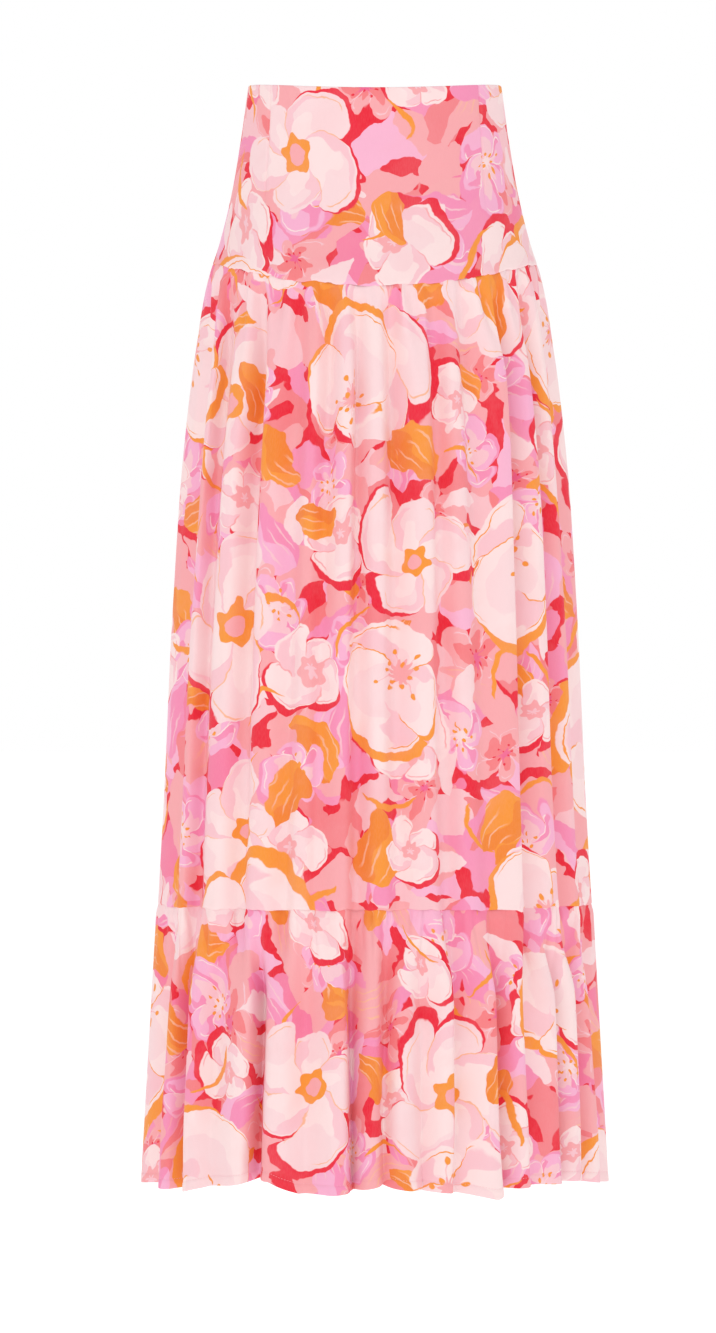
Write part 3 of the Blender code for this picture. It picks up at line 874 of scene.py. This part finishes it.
# run: how far apart a leaf's strokes are
leafLooks = {row["kind"]: row for row in records("kind length width bend run colours", (
    ("coralSweep", 0.060, 0.0150, 0.024, 0.0085, "coral pink salmon"),
    ("salmonSweep", 0.066, 0.0170, -0.022, 0.0095, "salmon salmon peach"),
    ("leaf", 0.046, 0.0200, 0.010, 0.0110, "pink lilac palePink"),
    ("orangeLeaf", 0.036, 0.0210, -0.011, 0.0120, "orange amber peach"),
    ("salmonPetal", 0.028, 0.0160, 0.006, 0.0, "salmon"),
    ("palePetal", 0.027, 0.0120, -0.007, 0.0, "blush"),
    ("stroke", 0.034, 0.0032, 0.014, 0.0, "orange"),
))}
# waist: how far out the petals part; lean: how far off the middle the heart lies
blossomForms = records("kind petals radius waist blunt uneven twist lean inset", (
    ("star", 5, 0.036, 0.48, 0.80, 0.20, 3.0, 0.15, 0.0040),
    ("lilacBlossom", 5, 0.038, 0.66, 0.60, 0.17, -3.5, 0.22, 0.0035),
    ("smallBlossom", 4, 0.044, 0.74, 0.55, 0.16, 2.5, 0.20, 0.0030),
    ("ringBlossom", 5, 0.080, 0.70, 0.50, 0.15, 1.6, 0.14, 0.0050),
    ("cupBlossom", 3, 0.078, 0.80, 0.50, 0.12, -1.8, 0.34, 0.0042),
))
# the heart's kind, size, spokes and the size of its dots; shift: of the crescent below
blossomHearts = records("heart size spokes dot dots core shade shift", (
    ("stamens", 0.0095, 7, 0.15, "crimson", "deepPink", None, 0.0),
    ("stamens", 0.0110, 9, 0.18, "orange", "blush", "pink", 0.0050),
    ("blot", 0.0130, 6, 0.0, "palePink", "salmon", "crimson", 0.0085),
    ("ring", 0.0200, 5, 0.0, "orange", "salmon", "crimson", 0.0075),
    ("stamens", 0.0220, 11, 0.15, "orange", "salmon", "orange", 0.0100),
))
blossomColours = records("rim middle lobe line", (
    ("salmon", "coral", None, "palePink"),
    ("lilac", "palePink", "pink", "white"),
    ("white", "blush", "palePink", "salmon"),
    ("blush", "white", "palePink", "peach"),
    ("white", "blush", "palePink", "orange"),
))
blossomLooks = {
    form["kind"]: {**form, **middle, **colours}
    for form, middle, colours in zip(blossomForms, blossomHearts, blossomColours)
}


def scatter(paint, uv, motif):
    # a leaning lattice; each cell holds one motif, turned, moved and sized at random
    grain = 1 / motif["spacing"]
    lattice = {
        "Vector": uv,
        "Location": motif["place"],
        "Rotation": (0.0, 0.0, math.radians(motif["turn"])),
        "Scale": (grain, grain, 0.0),
    }
    placed = paint.node("ShaderNodeMapping", **lattice)[0]
    cell = paint.vectors("FLOOR", placed)
    dice = paint.node("ShaderNodeTexWhiteNoise", {"noise_dimensions": "3D"}, Vector=cell)
    random = dice["Color"]
    jitter = printed["jitter"]
    shift = 0.5 - jitter / 2
    aside = paint.vectors("MULTIPLY_ADD", random, (jitter, jitter, 0.0), (shift, shift, 0.0))
    local = paint.vectors("SUBTRACT", paint.vectors("FRACTION", placed), aside)
    first, second, third = paint.split(random)
    size = motif["spacing"] * (1 + 0.4 * third)  # a larger scale makes a smaller motif
    local = paint.vectors("MULTIPLY", local, paint.join(size, size * (0.80 + 0.4 * second)))
    flat = {"rotation_type": "Z_AXIS"}
    local = paint.node("ShaderNodeVectorRotate", flat, Vector=local, Angle=first * 40.0)[0]
    missing = motif["missing"]
    return local, third, paint.step(Num(paint, dice["Value"]), missing, missing + 0.001)


def blossom(paint, uv, colour, motif):
    look, soft = blossomLooks[motif["kind"]], printed["soft"]
    local, dice, there = scatter(paint, uv, motif)
    away = paint.length(local)
    # the heart lies off the middle, and the petals swirl out of it, each of its own length
    heartPlace = paint.vectors("SUBTRACT", local, (look["radius"] * look["lean"], 0.0, 0.0))
    x, y, _ = paint.split(heartPlace)
    fromHeart, around = paint.length(heartPlace), paint.maths("ARCTAN2", y, x)
    turned = around / (2 * math.pi) + fromHeart * look["twist"] + 0.5
    phase = paint.maths("FRACT", turned) * look["petals"]
    index = paint.maths("FLOOR", phase)
    across = phase - index
    petal = paint.sine(across * math.pi)
    reach = look["radius"] * look["waist"]
    edge = paint.maths("MULTIPLY_ADD", petal ** look["blunt"], look["radius"] - reach, reach)
    edge = edge * (1 + look["uneven"] * paint.sine(index * 2.4 + dice * 9))
    if look["shade"]:  # a shifted copy below shows as a crescent
        moved = paint.vectors("ADD", local, (look["shift"], look["shift"] * 0.7, 0.0))
        below = paint.step(edge - paint.length(moved), -soft, soft) * there
        colour = paint.mix(below, colour, printed[look["shade"]])
    inside = edge - away
    outward = away / edge
    ragged = outward + 0.10 * paint.sine(across * 9 + index * 2 + dice * 6)
    pale = paint.step(ragged, 0.60, 0.57)
    body = paint.mix(pale, printed[look["rim"]], printed[look["middle"]])
    if look["lobe"]:  # a brush stroke of a second colour down one side of each petal
        stroke = across + 0.30 * outward + 0.08 * paint.sine(outward * 14 + dice * 9)
        side = paint.step(stroke, 0.92, 0.95) * paint.step(outward, 0.95, 0.90)
        body = paint.mix(side * paint.step(ragged, 0.30, 0.34), body, printed[look["lobe"]])
    # drawn lines part the petals and run, broken, inside their edge
    sixth = look["petals"] / 6
    between = paint.step(fromHeart * petal, 0.0032 * sixth, 0.0014 * sixth)
    broken = paint.step(paint.sine(across * 7 + index * 5 + dice * 30), -0.2, 0.4)
    inset = look["inset"] * (0.7 + 0.6 * petal)
    rim = paint.step(abs(inside - inset), 0.0009, 0.0003) * broken
    drawn = paint.maths("MAXIMUM", between * paint.step(outward, 0.45, 0.55), rim)
    body = paint.mix(drawn, body, printed[look["line"]])
    body = heart(paint, fromHeart, around, dice, look, body)
    return paint.mix(paint.step(inside, -soft, soft) * there, colour, body)


def heart(paint, away, around, dice, look, body):
    soft, size, spokes = printed["soft"], look["size"], look["spokes"]
    dots, core = printed[look["dots"]], printed[look["core"]]
    lopsided = paint.sine(around + dice * 9)
    ragged = away + size * (0.16 * paint.sine(around * spokes + dice * 5) + 0.16 * lopsided)

    def disc(shape, radius, edge, body, colour):
        return paint.mix(paint.step(shape, radius + edge, radius - edge), body, colour)

    if look["heart"] == "ring":
        body = disc(ragged, size, soft, body, dots)
        return disc(away + size * 0.2 * lopsided, size * 0.54, size * 0.02, body, core)
    if look["heart"] == "blot":
        body = disc(ragged, size, soft, body, core)
        return disc(ragged, size * 0.33, size * 0.03, body, dots)
    spoke = around * (spokes / (2 * math.pi))
    index = paint.maths("FLOOR", spoke)
    across = (spoke - index - 0.5) * (2 * math.pi / spokes) * away
    along = away - size * (0.95 + 0.45 * paint.sine(index * 2.4 + dice * 9))
    body = disc(ragged, size * 0.58, soft, body, core)
    stalk = paint.step(abs(across), 0.0008, 0.0003) * paint.step(along, 0.0, -0.001)
    body = paint.mix(stalk * 0.7, body, core)
    dot = size * look["dot"]
    near = paint.length(paint.join(across, along * 0.75))
    return disc(near, dot * 0.85, dot * 0.15, body, dots)


def leaf(paint, uv, colour, motif):
    look, soft = leafLooks[motif["kind"]], printed["soft"]
    shades = [printed[name] for name in look["colours"].split()]
    local, dice, there = scatter(paint, uv, motif)
    x, y, _ = paint.split(local)
    along = x / look["length"]
    squared = along * along
    bent = y - look["bend"] * squared
    bow = paint.maths("MAXIMUM", 1 - squared, 0.0) ** 0.6 * (1 + 0.4 * along)
    ripple = 0.09 * paint.sine(along * 9 + dice * 6)
    inside = (bow + ripple) * look["width"] - abs(bent)
    mask = paint.step(inside, -soft, soft) * paint.step(abs(along), 1.0, 0.98) * there
    if len(shades) == 1:  # a plain petal or brush stroke
        return paint.mix(mask, colour, shades[0])
    main, dark, light = shades
    split = bent + look["width"] * 0.3 * paint.sine(along * 4 + dice * 9)
    body = paint.mix(paint.step(split, -soft, soft), dark, main)
    # a few long strokes run with the leaf and thin out towards its ends
    line = (bent + 0.25 * look["bend"] * along) * (2 * math.pi / look["run"])
    streak = paint.sine(line + dice * 20)
    short = paint.step(abs(along + 0.5 * paint.sine(dice * 40)), 0.55, 0.25)
    body = paint.mix(paint.step(streak, 0.80, 0.96) * short * 0.85, body, light)
    return paint.mix(mask, colour, body)


def drift(paint, uv, cloudPlace, scale, detail, wide, tall):  # moves uv about by a cloud
    _, cloud = paint.noise(cloudPlace, scale, detail)
    spread, back = (2 * wide, 2 * tall, 0.0), (-wide, -tall, 0.0)
    return paint.vectors("ADD", uv, paint.vectors("MULTIPLY_ADD", cloud, spread, back))


def flowerPrint(paint, uv):
    wandering = uv
    for depth, scale in printed["wander"]:
        wandering = drift(paint, wandering, uv, scale, 1.0, depth, depth)
    depth, scale = printed["patchWander"]
    curled = drift(paint, wandering, wandering, scale, 2.0, 2 * depth, depth)
    flat = {"voronoi_dimensions": "2D"}
    cells = {"Vector": curled, "Scale": 1 / printed["patchSize"]}
    patch = paint.node("ShaderNodeTexVoronoi", flat, **cells)
    edge = paint.node("ShaderNodeTexVoronoi", {**flat, "feature": "DISTANCE_TO_EDGE"}, **cells)
    pick = paint.split(patch["Color"])[0]
    picked = paint.node("ShaderNodeValToRGB", {"stops": printed["patches"]}, pick)[0]
    cloud, _ = paint.noise(wandering, 22.0, 2.0)
    width = paint.step(cloud, 0.42, 0.62, -0.05, 0.15)
    shown = paint.step(Num(paint, edge["Distance"]) - width, -0.012, 0.012)
    colour = paint.mix(shown, printed["ground"], picked)
    for motif in motifs:
        draw = leaf if motif["kind"] in leafLooks else blossom
        colour = draw(paint, wandering, colour, motif)
    # a thin uneven wash lies over all of it
    wash, _ = paint.noise(wandering, printed["washScale"], 3.0)
    share = paint.step(wash, 0.45, 0.75, 0.0, printed["washDepth"])
    return paint.mix(share, colour, printed["salmon"])


finish = {
    "threads": 0.00042,  # pitch of the weave
    # scale across and down, distance and strength of each bump
    "crease": ((42.0, 15.0, 1.0), 0.0011, 0.55),
    "crinkle": ((330.0, 160.0, 1.0), 0.00016, 0.6),
    "weave": ((900.0, 220.0, 1.0), 0.00005, 0.5),
    "sheen": 0.12,
    "reverseFade": 0.55,  # how pale the print is on the wrong side
    "reverseTint": rgb(250, 222, 222),
    "fadeTint": rgb(255, 236, 232),
}


def wovenRelief(paint, uv):
    # soft creases, a fine crinkle and plain weave, each as a bump over the last
    x, y, _ = paint.split(paint.vectors("SCALE", uv, Scale=2 * math.pi / finish["threads"]))
    over = paint.sine(x) * paint.sine(y)
    normal, cloud = None, None
    for name in ("crease", "crinkle", "weave"):
        scales, distance, strength = finish[name]
        cloud, _ = paint.noise(paint.vectors("MULTIPLY", uv, scales), 1.0, 2.0)
        height = over * (0.6 + 0.4 * cloud) if name == "weave" else cloud
        normal = paint.bump(height, distance, strength, normal)
    return normal, cloud


def makeCloth(name, reverse):
    paint = Paint(name, Sheen_Weight=finish["sheen"], Sheen_Roughness=0.45, Specular_IOR_Level=0.28)
    uv = paint.node("ShaderNodeUVMap", {"uv_map": "cloth"})[0]
    colour = flowerPrint(paint, uv)
    if reverse:
        colour = paint.mix(finish["reverseFade"], colour, finish["reverseTint"])
    normal, slub = wovenRelief(paint, uv)
    fade, _ = paint.noise(uv, 9.0, 2.0)
    faded = paint.step(slub, 0.25, 0.8, 0.0, 0.03) + fade * 0.04
    paint.wear("Base Color", paint.mix(faded, colour, finish["fadeTint"]))
    paint.wear("Roughness", 0.70 + 0.16 * slub)
    paint.wear("Normal", normal)
    return paint.material


clothPair = (makeCloth("printed cloth", False), makeCloth("cloth reverse", True))
print("cloth materials made:", len(clothPair[0].node_tree.nodes), "nodes")


def makeTape():
    paint = Paint("zip tape weave", Roughness=0.8, Sheen_Weight=0.1, Specular_IOR_Level=0.3)
    place = paint.place()
    x, _, z = paint.split(place)
    rib = paint.sine((z + abs(x) * 0.7) * (2 * math.pi / 0.0011))
    cord = paint.sine(x * (2 * math.pi / 0.0016))
    wear, _ = paint.noise(place, 300.0, 2.0, "3D")
    # painted shade: the ribs are darker in their hollows and lighter on their crests, following the
    # rib relief, with a random lighter tone over them
    share = paint.step(rib, -0.6, 0.8) * 0.5 + wear * 0.3
    paint.wear("Base Color", paint.mix(share, rgb(238, 150, 176), rgb(250, 184, 200)))
    paint.wear("Normal", paint.bump(rib * 0.6 + cord * 0.4, 0.00012, 0.7))
    return paint.material


def makeNylon(name, light, dark, grain):
    paint = Paint(name, Specular_IOR_Level=0.45)
    cloud, _ = paint.noise(paint.place(), grain, 3.0, "3D")
    paint.wear("Base Color", paint.mix(paint.step(cloud, 0.35, 0.65), dark, light))
    paint.wear("Roughness", 0.34 + 0.22 * cloud)
    paint.wear("Normal", paint.bump(cloud, 0.00005, 0.5))
    return paint.material


def makeMetal():
    # lacquered metal: smooth paint with specks, thinner and brighter in places that rub
    look = {"Metallic": 0.25, "Coat_Roughness": 0.12, "Specular_IOR_Level": 0.55}
    paint = Paint("lacquered zip metal", **look)
    place = paint.place()
    cloud, _ = paint.noise(place, 420.0, 3.0, "3D")
    speck, _ = paint.noise(place, 2600.0, 2.0, "3D")
    rubbed = paint.step(cloud, 0.60, 0.72)
    colour = paint.mix(paint.step(cloud, 0.3, 0.7), rgb(232, 120, 152), rgb(240, 142, 170))
    paint.wear("Base Color", paint.mix(rubbed * 0.5, colour, rgb(246, 196, 200)))
    paint.wear("Roughness", 0.24 + 0.2 * cloud + 0.1 * rubbed)
    paint.wear("Coat Weight", 0.7 - 0.5 * rubbed)
    paint.wear("Normal", paint.bump(speck * 0.4 + cloud, 0.00006, 0.4))
    return paint.material


tapeWeave = makeTape()
zipNylon = makeNylon("zip coil nylon", rgb(246, 168, 190), rgb(236, 140, 168), 700.0)
threadPink = makeNylon("sewing thread", rgb(253, 200, 208), rgb(246, 176, 190), 1500.0)
zipMetal = makeMetal()
for name in ("zip_slider", "zip_pull"):
    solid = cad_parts[name]
    solid.data.materials.clear()
    solid.data.materials.append(zipMetal)
print("zip materials made")

for panel in yoke["panels"]:
    yokePanel(*panel, clothPair)
print("yoke made")
hems = {}
for panel in tiers["panels"]:
    hems[panel[0]] = tierPanel(*panel, clothPair)


def makeRepeat():  # puts a copy of a shape each pitch along a path, its Z along the path
    tree = bpy.data.node_groups.new("repeat_along_path", "GeometryNodeTree")
    face, web, names = tree.interface, Web(tree), {}
    kinds = {"Path": "Geometry", "Pitch": "Float", "Shape": "Object", "Finish": "Material"}
    for name, kind in {**kinds, "Unevenness": "Float"}.items():
        socket = face.new_socket(name, in_out="INPUT", socket_type="NodeSocket" + kind)
        names[name] = socket.identifier
    face.new_socket("Copies", in_out="OUTPUT", socket_type="NodeSocketGeometry")
    given = web.node("NodeGroupInput")
    curve = web.node("GeometryNodeMeshToCurve", None, given["Path"])[0]
    pitch = {"Curve": curve, "Length": given["Pitch"]}
    points = web.node("GeometryNodeResampleCurve", {"mode": "LENGTH"}, **pitch)[0]
    shape = web.node("GeometryNodeObjectInfo", None, given["Shape"])["Geometry"]
    ahead = web.node("GeometryNodeInputTangent")[0]
    turned = web.node("FunctionNodeAlignRotationToVector", {"axis": "Z"}, Vector=ahead)[0]
    least = web.node("ShaderNodeMath", {"operation": "SUBTRACT"}, 1.0, given["Unevenness"])[0]
    dice = {"at2": least, "at3": 1.0, "Seed": 4}
    size = web.node("FunctionNodeRandomValue", {"data_type": "FLOAT"}, **dice)[1]
    copies = {"Points": points, "Instance": shape, "Rotation": turned, "Scale": size}
    copies = web.node("GeometryNodeInstanceOnPoints", **copies)[0]
    solid = web.node("GeometryNodeRealizeInstances", None, copies)[0]
    dressed = {"Geometry": solid, "Material": given["Finish"]}
    web.node("NodeGroupOutput", None, web.node("GeometryNodeSetMaterial", **dressed)[0])
    return tree, names


repeatTree, repeatNames = makeRepeat()


def repeatAlong(name, path, shape, material, pitch):
    edges = [(i, i + 1) for i in range(len(path) - 1)]
    carrier = newPiece(name + "_path", [tuple(point) for point in path], [], edges)
    step = carrier.modifiers.new("repeat", "NODES")
    step.node_group = repeatTree
    step[repeatNames["Pitch"]] = pitch
    step[repeatNames["Shape"]] = shape
    step[repeatNames["Finish"]] = material
    step[repeatNames["Unevenness"]] = stitching["unevenness"]
    bpy.context.view_layer.update()
    ready = carrier.evaluated_get(bpy.context.evaluated_depsgraph_get())
    mesh = bpy.data.meshes.new_from_object(ready)
    carrier.modifiers.clear()
    bpy.data.objects.remove(carrier)
    mesh.name = name
    mesh.shade_smooth()
    made = newObject(name, mesh)
    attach(made, "skirt")


def threadShape(name, points, radii):  # a short bent thread: rings along its middle line
    vertices, faces, sides = [], [], stitching["sides"]
    points = [Vector(point) for point in points]
    for i, (point, radius) in enumerate(zip(points, radii)):
        ahead = points[min(i + 1, len(points) - 1)] - points[max(i - 1, 0)]
        turn = ahead.to_track_quat("Z", "Y")
        for k in range(sides):
            angle = 2 * math.pi * k / sides
            rim = Vector((radius * math.cos(angle), radius * math.sin(angle), 0))
            vertices.append(tuple(point + turn @ rim))
    last = (len(points) - 1) * sides
    for ring in range(0, last, sides):
        for k in range(sides):
            a, b = ring + k, ring + (k + 1) % sides
            faces.append((a, b, b + sides, a + sides))
    faces.append(tuple(reversed(range(sides))))
    faces.append(tuple(range(last, last + sides)))
    return newPiece(name, vertices, faces)


stitching = {
    "pitch": 0.0028,
    "length": 0.0018,
    "thread": 0.00016,
    "rise": 0.00005,
    "sides": 6,
    "unevenness": 0.12,  # how much smaller a stitch or a loop of the coil may be
}
half, thread, stitchPitch = stitching["length"] / 2, stitching["thread"], stitching["pitch"]
stitchShape = threadShape(
    "stitch_shape",
    ((0, 0, -half), (0, 0, -half * 0.5), (0, 0, half * 0.5), (0, 0, half)),
    (thread * 0.4, thread, thread, thread * 0.4),
)
for side in ("front", "back"):
    name = "tier_lower_" + side
    grid, up = hems[name]
    row = int(np.argmin(np.abs(up.mean(axis=1) - cloth["hemWidth"])))
    path = (grid[row] + normalsOf(grid)[row] * stitching["rise"])[3:-3]
    repeatAlong("hem_stitches_" + side, path, stitchShape, threadPink, stitchPitch)
print("hem stitched")


# the zip is two woven tapes with a nylon coil, behind the centre-back seam

zipper = {
    "topDrop": 0.001,
    "bottomDrop": 0.158,
    "halfWidth": 0.011,
    "halfGap": 0.00035,
    "behind": 0.0022,  # the tapes' outer face, inside the yoke's outer one
    "thickness": 0.0006,
    "rows": 60,
    "columns": 12,
    "sliderRows": (0.0045, 0.0050, 0.0149, 0.0155),  # where the tapes part for the slider
    "sliderDrop": 0.0100,
    "sliderHalf": 0.00405,
    "sliderTall": 0.00515,
    "coilPitch": 0.0013,
    "coilReach": 0.0017,
    "coilWire": 0.00032,
    "coilTop": 0.0165,
    "coilBottom": 0.155,
    "coilPoints": 90,
    "stitchesAside": 0.0078,
    "stitchesTop": 0.020,
    "stitchesBottom": 0.154,
    "stitchPoints": 80,
}


def behindYoke(across, drops, depth):  # points this far from centre back, inside the yoke
    angles = 180 - np.degrees(np.arcsin(across / outlineAt(drops, "halfWidth")))
    return onOutline(angles, drops, -depth)


def tapeGrid(side):
    even = np.linspace(zipper["topDrop"], zipper["bottomDrop"], zipper["rows"])
    grid = []
    for drop in np.unique([*even, *zipper["sliderRows"]]):
        passing = abs(drop - zipper["sliderDrop"]) < zipper["sliderTall"]
        inner = zipper["sliderHalf"] if passing else zipper["halfGap"]
        across = side * np.linspace(inner, zipper["halfWidth"], zipper["columns"])
        grid.append(behindYoke(across[::-side], np.full(len(across), drop), zipper["behind"]))
    return np.array(grid)


def makeTapes():
    vertices, faces = [], []
    for side in (1, -1):
        grid = tapeGrid(side)
        faces += gridFaces(grid, len(vertices))
        vertices += grid.reshape(-1, 3).tolist()
    made = newPiece("zip_tapes", vertices, faces)
    made.data.materials.append(tapeWeave)
    standFor(made, "zip_tape", zipper["thickness"])


makeTapes()
inside = zipper["behind"] + zipper["thickness"]
reach, wire, coilPitch = zipper["coilReach"], zipper["coilWire"], zipper["coilPitch"]
for side, sign in (("left", 1), ("right", -1)):
    # local Z runs down the zip; a loop lies across it and bulges inwards
    loop = (
        (-sign * 0.3 * reach, 0, 0),
        (sign * 0.1 * reach, -wire, 0),
        (sign * 0.7 * reach, -wire, 0.0001),
        (sign * reach, 0, 0.0003),
    )
    coilShape = threadShape("coil_shape_" + side, loop, (wire * 1.25, wire, wire, wire))
    start = zipper["coilTop"] + (coilPitch / 2 if sign < 0 else 0)
    drops = np.linspace(start, zipper["coilBottom"], zipper["coilPoints"])
    path = behindYoke(0 * drops, drops, inside + wire * 1.2)
    repeatAlong("zip_coil_" + side, path, coilShape, zipNylon, coilPitch)
    bpy.data.objects.remove(coilShape)
    # the tape is sewn to the seam allowance beside the coil
    drops = np.linspace(zipper["stitchesTop"], zipper["stitchesBottom"], zipper["stitchPoints"])
    aside = 0 * drops + sign * zipper["stitchesAside"]
    path = behindYoke(aside, drops, inside + stitching["rise"])
    repeatAlong("zip_stitches_" + side, path, stitchShape, threadPink, stitchPitch)
bpy.data.objects.remove(stitchShape)
print("zip made")


studio = {
    "floorHeight": -1.30,
    "floorReach": 60.0,
    "floorSides": 48,
    "floorGlow": 0.32,
    "floorColour": rgb(252, 251, 251),
    "floorCloud": rgb(249, 249, 250),
    "white": (1.0, 1.0, 1.0, 1.0),
    "worldStrength": 0.75,
    "backdropStrength": 1.0,
    "cameraPlace": (-0.016, -6.5, -0.5505),
    "lens": 185.0,
    "sensor": 36.0,
    "lights": (
        # name, place, aimed at, size, watts
        ("key", (-1.6, -3.4, 1.2), (0.0, 0.0, -0.5), 2.4, 17.0),
        ("fill", (2.4, -3.0, 0.3), (0.0, 0.0, -0.6), 2.6, 8.0),
        ("back", (0.0, 3.2, 1.6), (0.0, 0.0, -0.5), 2.6, 21.0),
    ),
}


def makeStage():
    # a wide pale floor, as bright as the sky so that no horizon shows
    reach, height, sides = studio["floorReach"], studio["floorHeight"], studio["floorSides"]
    turns = [2 * math.pi * step / sides for step in range(sides)]
    ring = [(reach * math.cos(turn), reach * math.sin(turn), height) for turn in turns]
    floor = newPiece("studio_floor", ring, [tuple(range(sides))])
    look = {"Roughness": 0.9, "Specular_IOR_Level": 0.1, "Emission_Strength": studio["floorGlow"]}
    paint = Paint("pale studio paper", Emission_Color=studio["white"], **look)
    cloud, _ = paint.noise(paint.place(), 3.0, 2.0, "3D")
    paint.wear("Base Color", paint.mix(cloud * 0.3, studio["floorColour"], studio["floorCloud"]))
    floor.data.materials.append(paint.material)


def makeLights():
    world = bpy.data.worlds.new("studio")
    world.use_nodes = True
    sky, glow = Web(world.node_tree), world.node_tree.nodes["Background"]
    seen = sky.node("ShaderNodeLightPath")["Is Camera Ray"]  # the backdrop itself is white paper
    strengths = {"at3": studio["worldStrength"], "at4": studio["backdropStrength"]}
    sky.feed(glow.inputs[0], studio["white"])
    sky.feed(glow.inputs[1], sky.node("ShaderNodeMapRange", None, seen, **strengths)[0])
    bpy.context.scene.world = world
    for name, place, aim, size, watts in studio["lights"]:
        lamp = bpy.data.lights.new(name, "AREA")
        lamp.energy, lamp.size = watts, size
        holder = newObject(name, lamp)
        holder.location = place
        holder.rotation_euler = (Vector(aim) - Vector(place)).to_track_quat("-Z", "Y").to_euler()


def makeCamera():
    lens = bpy.data.cameras.new("photo camera")
    lens.lens = studio["lens"]
    lens.sensor_width = lens.sensor_height = studio["sensor"]
    lens.clip_end = studio["floorReach"]
    camera = newObject("photo camera", lens)
    camera.location = studio["cameraPlace"]
    camera.rotation_euler = (math.pi / 2, 0.0, 0.0)
    bpy.context.scene.camera = camera
    bpy.context.scene.view_settings.view_transform = "Standard"


makeStage()
makeLights()
makeCamera()
print("studio ready")

bpy.context.view_layer.update()
